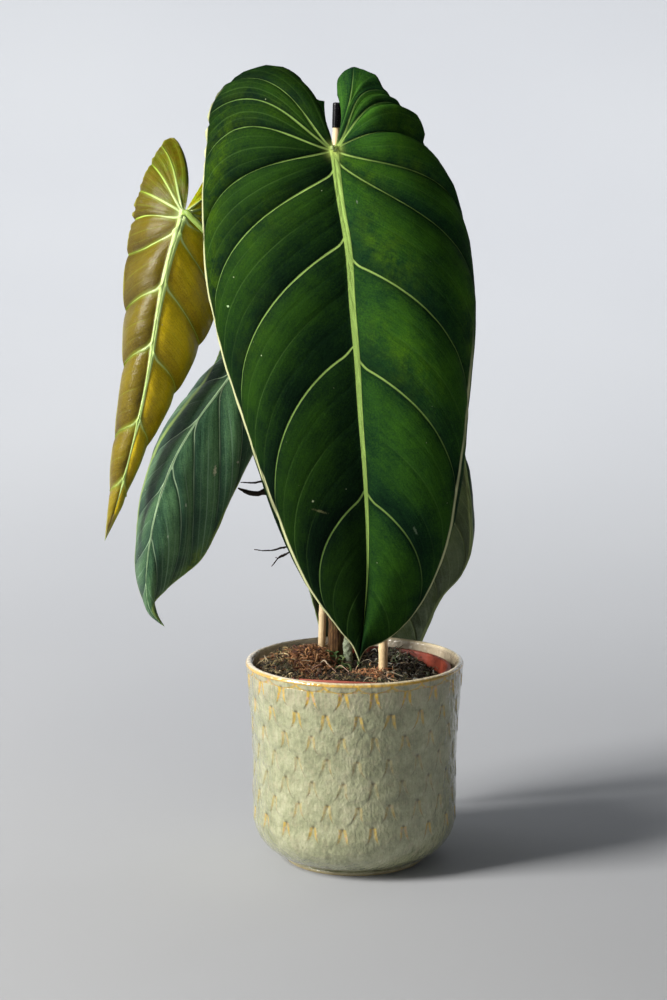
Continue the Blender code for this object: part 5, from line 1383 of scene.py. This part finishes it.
def strands(name, feet, reach, thick, droop, curl, palette, finish, seed, flat=1.0):
    """Many thin strands in one piece, each a three-sided bar along its own curve.

    A strand leaves its foot along its reach, sinks by droop times the square of the way along,
    and swings sideways by curl times a sine. None passes through the glazed wall. Its thickness
    falls to nothing at the tip. flat presses its outline.
    """
    rng = np.random.default_rng(seed)
    count, stations = len(feet), 7
    s = np.linspace(0.0, 1.0, stations)[None, :, None]
    length = np.linalg.norm(reach, axis=1)[:, None, None]
    across = unit(np.cross(reach, rng.normal(size=(count, 3))))[:, None]
    line = feet[:, None] + reach[:, None] * s + across * (
        curl * length * np.sin(np.pi * s * rng.uniform(0.6, 1.8, (count, 1, 1))))
    line[..., 2:] -= droop * length * s**2
    off = np.linalg.norm(line[..., :2], axis=-1, keepdims=True)
    line[..., :2] *= np.minimum(1.0, WALL_REACH / off)
    tangent = unit(np.gradient(line, axis=1))
    first = unit(np.cross(tangent, across + 0.3 * rng.normal(size=(count, 1, 3))))
    second = np.cross(tangent, first)
    angle = TURN * np.arange(3) / 3
    width = (thick[:, None] * np.sqrt(np.clip(1.0 - s[..., 0]**3, 0.0, 1.0))
             * (0.6 + 0.6 * np.sin(np.pi * s[..., 0]**0.7)))[..., None, None]
    ring = (first[:, :, None] * np.cos(angle)[:, None] * flat
            + second[:, :, None] * np.sin(angle)[:, None])
    points = line[:, :, None] + ring * width
    first_point = np.arange(count)[:, None, None] * stations * 3
    sides = (first_point + grid_faces(stations, 3, wrap=True)).reshape(-1, 4)
    feet_caps = (first_point + np.array([(0, 1, 2)])).reshape(-1, 3)
    faces = sides.tolist() + feet_caps.tolist()
    tint = tinted(count, palette, rng, 0.35)[:, None, None] * (0.65 + 0.5 * s[..., None])
    tint = (tint * np.ones((1, 1, 3, 1))).reshape(-1, 3)
    add_piece(name, points.reshape(-1, 3), faces, finish, (), {"tint": tint},
              sharp=180.0, weld=0.0005)


def scattered(count, centre, spread, rng, limit):
    """Feet on the ground round a centre, thrown by a bell curve and kept inside a circle."""
    x = centre[0] + spread[0] * rng.normal(size=3 * count)
    y = centre[1] + spread[1] * rng.normal(size=3 * count)
    keep = (x - NURSERY_CENTRE[0])**2 + (y - NURSERY_CENTRE[1])**2 < limit**2
    return x[keep][:count], y[keep][:count]


RUST = ((0.22, 0.085, 0.035), (0.34, 0.15, 0.055), (0.11, 0.045, 0.025), (0.42, 0.22, 0.09))
STRAW = ((0.46, 0.34, 0.15), (0.26, 0.21, 0.085), (0.13, 0.11, 0.05), (0.66, 0.54, 0.30))
DUSK = ((0.040, 0.030, 0.020), (0.085, 0.065, 0.040), (0.020, 0.015, 0.011), (0.20, 0.15, 0.085),
        (0.06, 0.07, 0.025))
SPRIG = ((0.10, 0.20, 0.05), (0.05, 0.12, 0.03), (0.24, 0.34, 0.13))
FOX = ((0.50, 0.22, 0.09), (0.34, 0.14, 0.06), (0.62, 0.36, 0.18))
GREY = ((0.30, 0.31, 0.28), (0.12, 0.14, 0.10), (0.46, 0.45, 0.38), (0.16, 0.22, 0.10))
CHAFF = ((0.52, 0.38, 0.26), (0.30, 0.17, 0.12), (0.60, 0.52, 0.36))

# A kind of moss: how many strands, where their feet are thrown and how widely, how high they
# start, how long and thick they are, how they droop and curl, their colours and seed, and then how
# far they lean, how flat they are and how far out they may stand.
MOSS = {
    "moss_rust": (1700, (-35.0, 9.0), (9.5, 13.0), 4.0, 6.5, 0.34, 0.5, 0.45, RUST, 31),
    "moss_straw": (700, (-52.0, 0.0), (6.0, 17.0), 3.0, 7.5, 0.36, 0.3, 0.3, STRAW, 32, 1.0, 1.0,
                   58.0),
    "moss_dusk": (2300, (8.0, -4.0), (30.0, 30.0), 1.8, 6.5, 0.30, 0.5, 0.4, DUSK, 33, 1.0, 1.0,
                  55.0),
    "moss_tan": (420, (-6.0, -32.0), (24.0, 10.0), 1.5, 5.0, 0.30, 0.6, 0.45, STRAW, 34, 1.0, 1.0,
                 54.0),
    "moss_tuft": (300, (12.0, -10.0), (6.0, 8.0), 2.5, 7.0, 0.42, 0.35, 0.5, FOX, 35),
    "moss_grey": (360, (27.0, 4.0), (12.0, 18.0), 2.0, 4.5, 0.40, 0.4, 0.35, GREY, 36),
    "sprouts": (60, (-13.0, 16.0), (8.0, 8.0), 2.0, 9.0, 1.15, 0.45, 0.2, SPRIG, 37, 0.6, 0.35),
    "loose_straws": (46, (-16.0, -8.0), (28.0, 20.0), 4.0, 15.0, 0.34, 0.25, 0.12, CHAFF, 38, 2.2,
                     1.0, 50.0)}

SPILL_TURN = (math.radians(108.0), math.radians(243.0))
SPILL_RADIUS = 57.5                 # round the nursery pot's axis
SPILL_HEIGHT = 133.0
SPILL_STRANDS = 1300
BED_RADIUS = 7.6
BED_PRESS = 0.6


def moss():
    """Moss, straws and sprouts on the potting mix, each kind thrown where the pot shows it.

    A strand's reach is a random direction of the upper half times a random length.
    """
    rng = np.random.default_rng(11)
    fibre = tinted_finish("moss_fibre", (0.55, 0.48, 0.42), 3.0, 0.1, Roughness=0.85)

    def kind(name, count, centre, spread, lift, length, thick, droop, curl, palette, seed,
             sideways=1.0, flat=1.0, limit=SOIL_LIMIT):
        """One kind's strands. The random draws keep the order of these lines."""
        x, y = scattered(count, centre, spread, rng, limit)
        n = len(x)
        feet = np.stack((x, y, ground(x, y) + rng.uniform(-0.6, lift, n)), axis=-1)
        way = np.stack((sideways * rng.normal(size=n), sideways * rng.normal(size=n),
                        rng.uniform(0.15, 1.0, n)), axis=-1)
        reach = unit(way) * rng.uniform(0.5, 1.4, (n, 1)) * length
        strands(name, feet, reach, thick * rng.uniform(0.6, 1.3, n), droop, curl, palette, fibre,
                seed, flat)

    for name, row in MOSS.items():
        kind(name, *row)
    spilled_moss(rng, fibre)


def spilled_moss(rng, fibre):
    """Strands on the moss bed. Their feet stand on its round back, and they lean the way that it
    falls off."""
    turn = np.radians(rng.uniform(*np.degrees(SPILL_TURN), SPILL_STRANDS))
    share = np.sin(np.pi * (turn - SPILL_TURN[0]) / (SPILL_TURN[1] - SPILL_TURN[0]))**0.5
    lean = rng.uniform(-1.0, 1.0, SPILL_STRANDS)
    r = SPILL_RADIUS + 7.5 * lean * share
    height = (SPILL_HEIGHT + share * 4.6 * np.sqrt(1.0 - lean**2)
              + rng.uniform(-0.5, 1.5, SPILL_STRANDS))
    feet = around(r, turn, height, NURSERY_CENTRE)
    way = around(0.7 * lean, turn, rng.uniform(0.1, 0.8, SPILL_STRANDS))
    way = way + 0.6 * rng.normal(size=(SPILL_STRANDS, 3))
    reach = unit(way) * rng.uniform(3.0, 9.0, (SPILL_STRANDS, 1))
    strands("moss_spill", feet, reach, 0.32 * rng.uniform(0.6, 1.3, SPILL_STRANDS), 0.45, 0.35,
            STRAW + DUSK + DUSK[:4] + RUST[:2], fibre, 39)


def moss_bed():
    """Crumbs and moss over the nursery pot's rim at the left: a bar carried along an arc, pressed
    flatter and pushed in and out by noise. Its radius is the root of a half sine along the arc."""
    count, sides = 130, 44
    turn = np.linspace(*SPILL_TURN, count)
    line = around(SPILL_RADIUS, turn, SPILL_HEIGHT, NURSERY_CENTRE)
    radius = BED_RADIUS * np.sin(np.pi * np.linspace(0.03, 0.97, count))**0.5
    points, _, out, rows = carried(line, radius, sides)
    lumps = 0.5 * ripple(points, 5.0, 51) + 0.35 * ripple(points, 2.0, 52)
    points = points + out * lumps[..., None]
    points[..., 2] = SPILL_HEIGHT + BED_PRESS * (points[..., 2] - SPILL_HEIGHT)
    add_piece("moss_bed", points, grid_faces(len(rows), sides, wrap=True),
              bpy.data.materials["peat_and_moss"], (), sharp=80.0)


def nursery_lip():
    """The nursery pot's rolled lip at the front, where the pot leans up: a round bar carried
    along an arc of its rim, drawn out in height by a bell curve of the way along."""
    turn = np.linspace(LIP_MIDDLE - LIP_HALF, LIP_MIDDLE + LIP_HALF, 160)
    bell = np.exp(-((turn - LIP_MIDDLE) / LIP_RISE_WIDE)**2)
    line = around(LIP_RADIUS, turn, LIP_HEIGHT + LIP_RISE * bell, NURSERY_CENTRE)
    sides = 20
    points, _, _, rows = carried(line, 1.0, sides)
    middle = line[rows, 2][:, None]
    points[..., 2] = middle + (1.0 + LIP_RISE * bell[rows][:, None]) * (points[..., 2] - middle)
    add_piece("nursery_lip", points, grid_faces(len(rows), sides, wrap=True),
              bpy.data.materials["terracotta_plastic"], ())


# x, y, z and radius along each stalk
STALK_LINES = (
    ((-31.0, 18.0, 140.5, 0.50), (-24.0, 4.0, 139.5, 0.46), (-15.0, -9.0, 134.5, 0.40),
     (-9.5, -19.0, 131.0, 0.25)),
    ((-14.0, 2.0, 130.0, 0.40), (-10.0, -6.0, 136.0, 0.36), (-4.0, -16.0, 134.0, 0.2)),
    ((18.0, -2.0, 128.0, 0.36), (24.0, -10.0, 132.5, 0.34), (33.0, -13.0, 130.0, 0.2)),
    ((-52.0, -12.0, 133.0, 0.42), (-60.0, -4.0, 139.5, 0.34), (-62.5, 4.0, 141.0, 0.2)),
    ((34.0, 12.0, 127.0, 0.40), (30.0, 0.0, 132.0, 0.36), (22.0, -6.0, 130.0, 0.2)))


def dry_stalks():
    """A few old stalks that lie across the moss: thin bars carried along their own lines."""
    finish = tinted_finish("dry_stalk", (0.6, 0.5, 0.45), 3.0, 0.1, Roughness=0.7)
    parts = []
    for seed, stations in enumerate(STALK_LINES):
        line = smooth_line(stations, 40)
        points = carried(line[:, :3], line[:, 3], 8, seed)[0]
        tint = np.ones(points.shape) * ((0.44, 0.29, 0.20) if seed < 2 else (0.46, 0.41, 0.28))
        parts.append((points, {"tint": tint}))
    points, faces, values = joined(parts)
    add_piece("dry_stalks", points, faces, finish, (), values, weld=0.003)


# Studio
# In metres. A light's row is its name, place, aim, width and height, watts and colour.
SWEEP_FLOOR = 0.5
SWEEP_BEND = 2.5
SURROUND_LIGHT = 0.035
CAMERA_PLACE = (-0.0145, -1.4647, 0.4772)
CAMERA_DOWN = 0.1539                # radians below level
CAMERA_LENS = 78.4
LIGHTS = (
    ("key", (-1.97, -0.80, 1.46), (-0.03, 0.0, 0.28), (0.8, 1.1), 104.0, (1.0, 0.975, 0.94)),
    ("backdrop_wash", (0.0, 0.85, 1.75), (0.0, 1.75, 1.20), (2.2, 0.5), 40.0, (0.95, 0.97, 1.0)),
    ("low_key", (-1.43, -0.72, 0.42), (0.0, 0.0, 0.08), (0.16, 0.7), 3.0, (1.0, 0.99, 0.97)),
    ("edge", (1.5, 1.5, 0.75), (0.0, 0.0, 0.2), (0.13, 1.2), 3.2, (0.88, 0.94, 1.0)))


def pale_sweep():
    """A round pale sweep: a flat floor and a wide quarter circle, carried round Z. It is a deeper
    grey high up at the right, so that it throws little light back, and a trace darker on its
    floor."""
    bend = np.radians(np.linspace(0.0, 90.0, 40))
    r = np.concatenate(([0.0, SWEEP_FLOOR], SWEEP_FLOOR + SWEEP_BEND * np.sin(bend[1:])))
    z = np.concatenate(([0.0, 0.0], SWEEP_BEND * (1.0 - np.cos(bend[1:]))))
    sides = 128
    angle = TURN * np.arange(sides) / sides
    points = around(r[:, None], angle, z[:, None])
    mesh = bpy.data.meshes.new("sweep")
    faces = grid_faces(len(r), sides, wrap=True)[:, ::-1]
    mesh.from_pydata(points.reshape(-1, 3), [], faces)
    mesh.shade_smooth()
    shade = mesh.attributes.new("shade", "FLOAT", "POINT")
    deep = np.maximum(step(0.5, 1.2, points[..., 0]) * step(0.05, 0.5, points[..., 2]),
                      0.05 * step(0.15, 0.0, points[..., 2]))
    shade.data.foreach_set("value", deep.astype(np.float32).ravel())
    f = Finish("sweep", Roughness=0.95, Specular_IOR_Level=0.05)
    pale = f.mix(f.noise(f.place(), 900.0, 2.0), (0.43, 0.44, 0.46), (0.46, 0.47, 0.485))
    f.paint(f.mix(f.value("shade"), pale, (0.10, 0.102, 0.105)))
    mesh.materials.append(f.material)
    sweep = bpy.data.objects.new("sweep", mesh)
    bpy.context.scene.collection.objects.link(sweep)


def lights():
    """Soft oblong lights, each turned towards its aim, and a weak even light all round."""
    for name, place, aim, size, power, colour in LIGHTS:
        lamp = bpy.data.lights.new(name, "AREA")
        lamp.shape = "RECTANGLE"
        lamp.size, lamp.size_y = size
        lamp.energy = power
        lamp.color = colour
        light = bpy.data.objects.new(name, lamp)
        bpy.context.scene.collection.objects.link(light)
        light.location = place
        way = np.array(aim) - np.array(place)
        light.rotation_euler = (math.atan2(math.hypot(way[0], way[1]), -way[2]), 0.0,
                                math.atan2(way[1], way[0]) - math.pi / 2.0)
    world = bpy.data.worlds.new("surround")
    world.use_nodes = True
    world.node_tree.nodes["Background"].inputs["Color"].default_value = (0.92, 0.95, 1.0, 1.0)
    world.node_tree.nodes["Background"].inputs["Strength"].default_value = SURROUND_LIGHT
    bpy.context.scene.world = world


def camera():
    """The camera, at the photograph's angle."""
    lens = bpy.data.cameras.new("camera")
    lens.sensor_width = 36.0
    lens.lens = CAMERA_LENS
    viewer = bpy.data.objects.new("camera", lens)
    bpy.context.scene.collection.objects.link(viewer)
    viewer.location = CAMERA_PLACE
    viewer.rotation_euler = (math.pi / 2.0 - CAMERA_DOWN, 0.0, 0.0)
    bpy.context.scene.camera = viewer
    bpy.context.scene.view_settings.view_transform = "Standard"


pale_sweep()
lights()
camera()
glazed_pot()
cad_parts["nursery_pot"].data.materials.clear()
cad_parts["nursery_pot"].data.materials.append(plastic_finish())
nursery_lip()
potting_mix()
chips()
moss_bed()
moss()
dry_stalks()
canes()
cap_on_cane()
stem()
cut_stub()
petioles()
aerial_roots()
leaves()
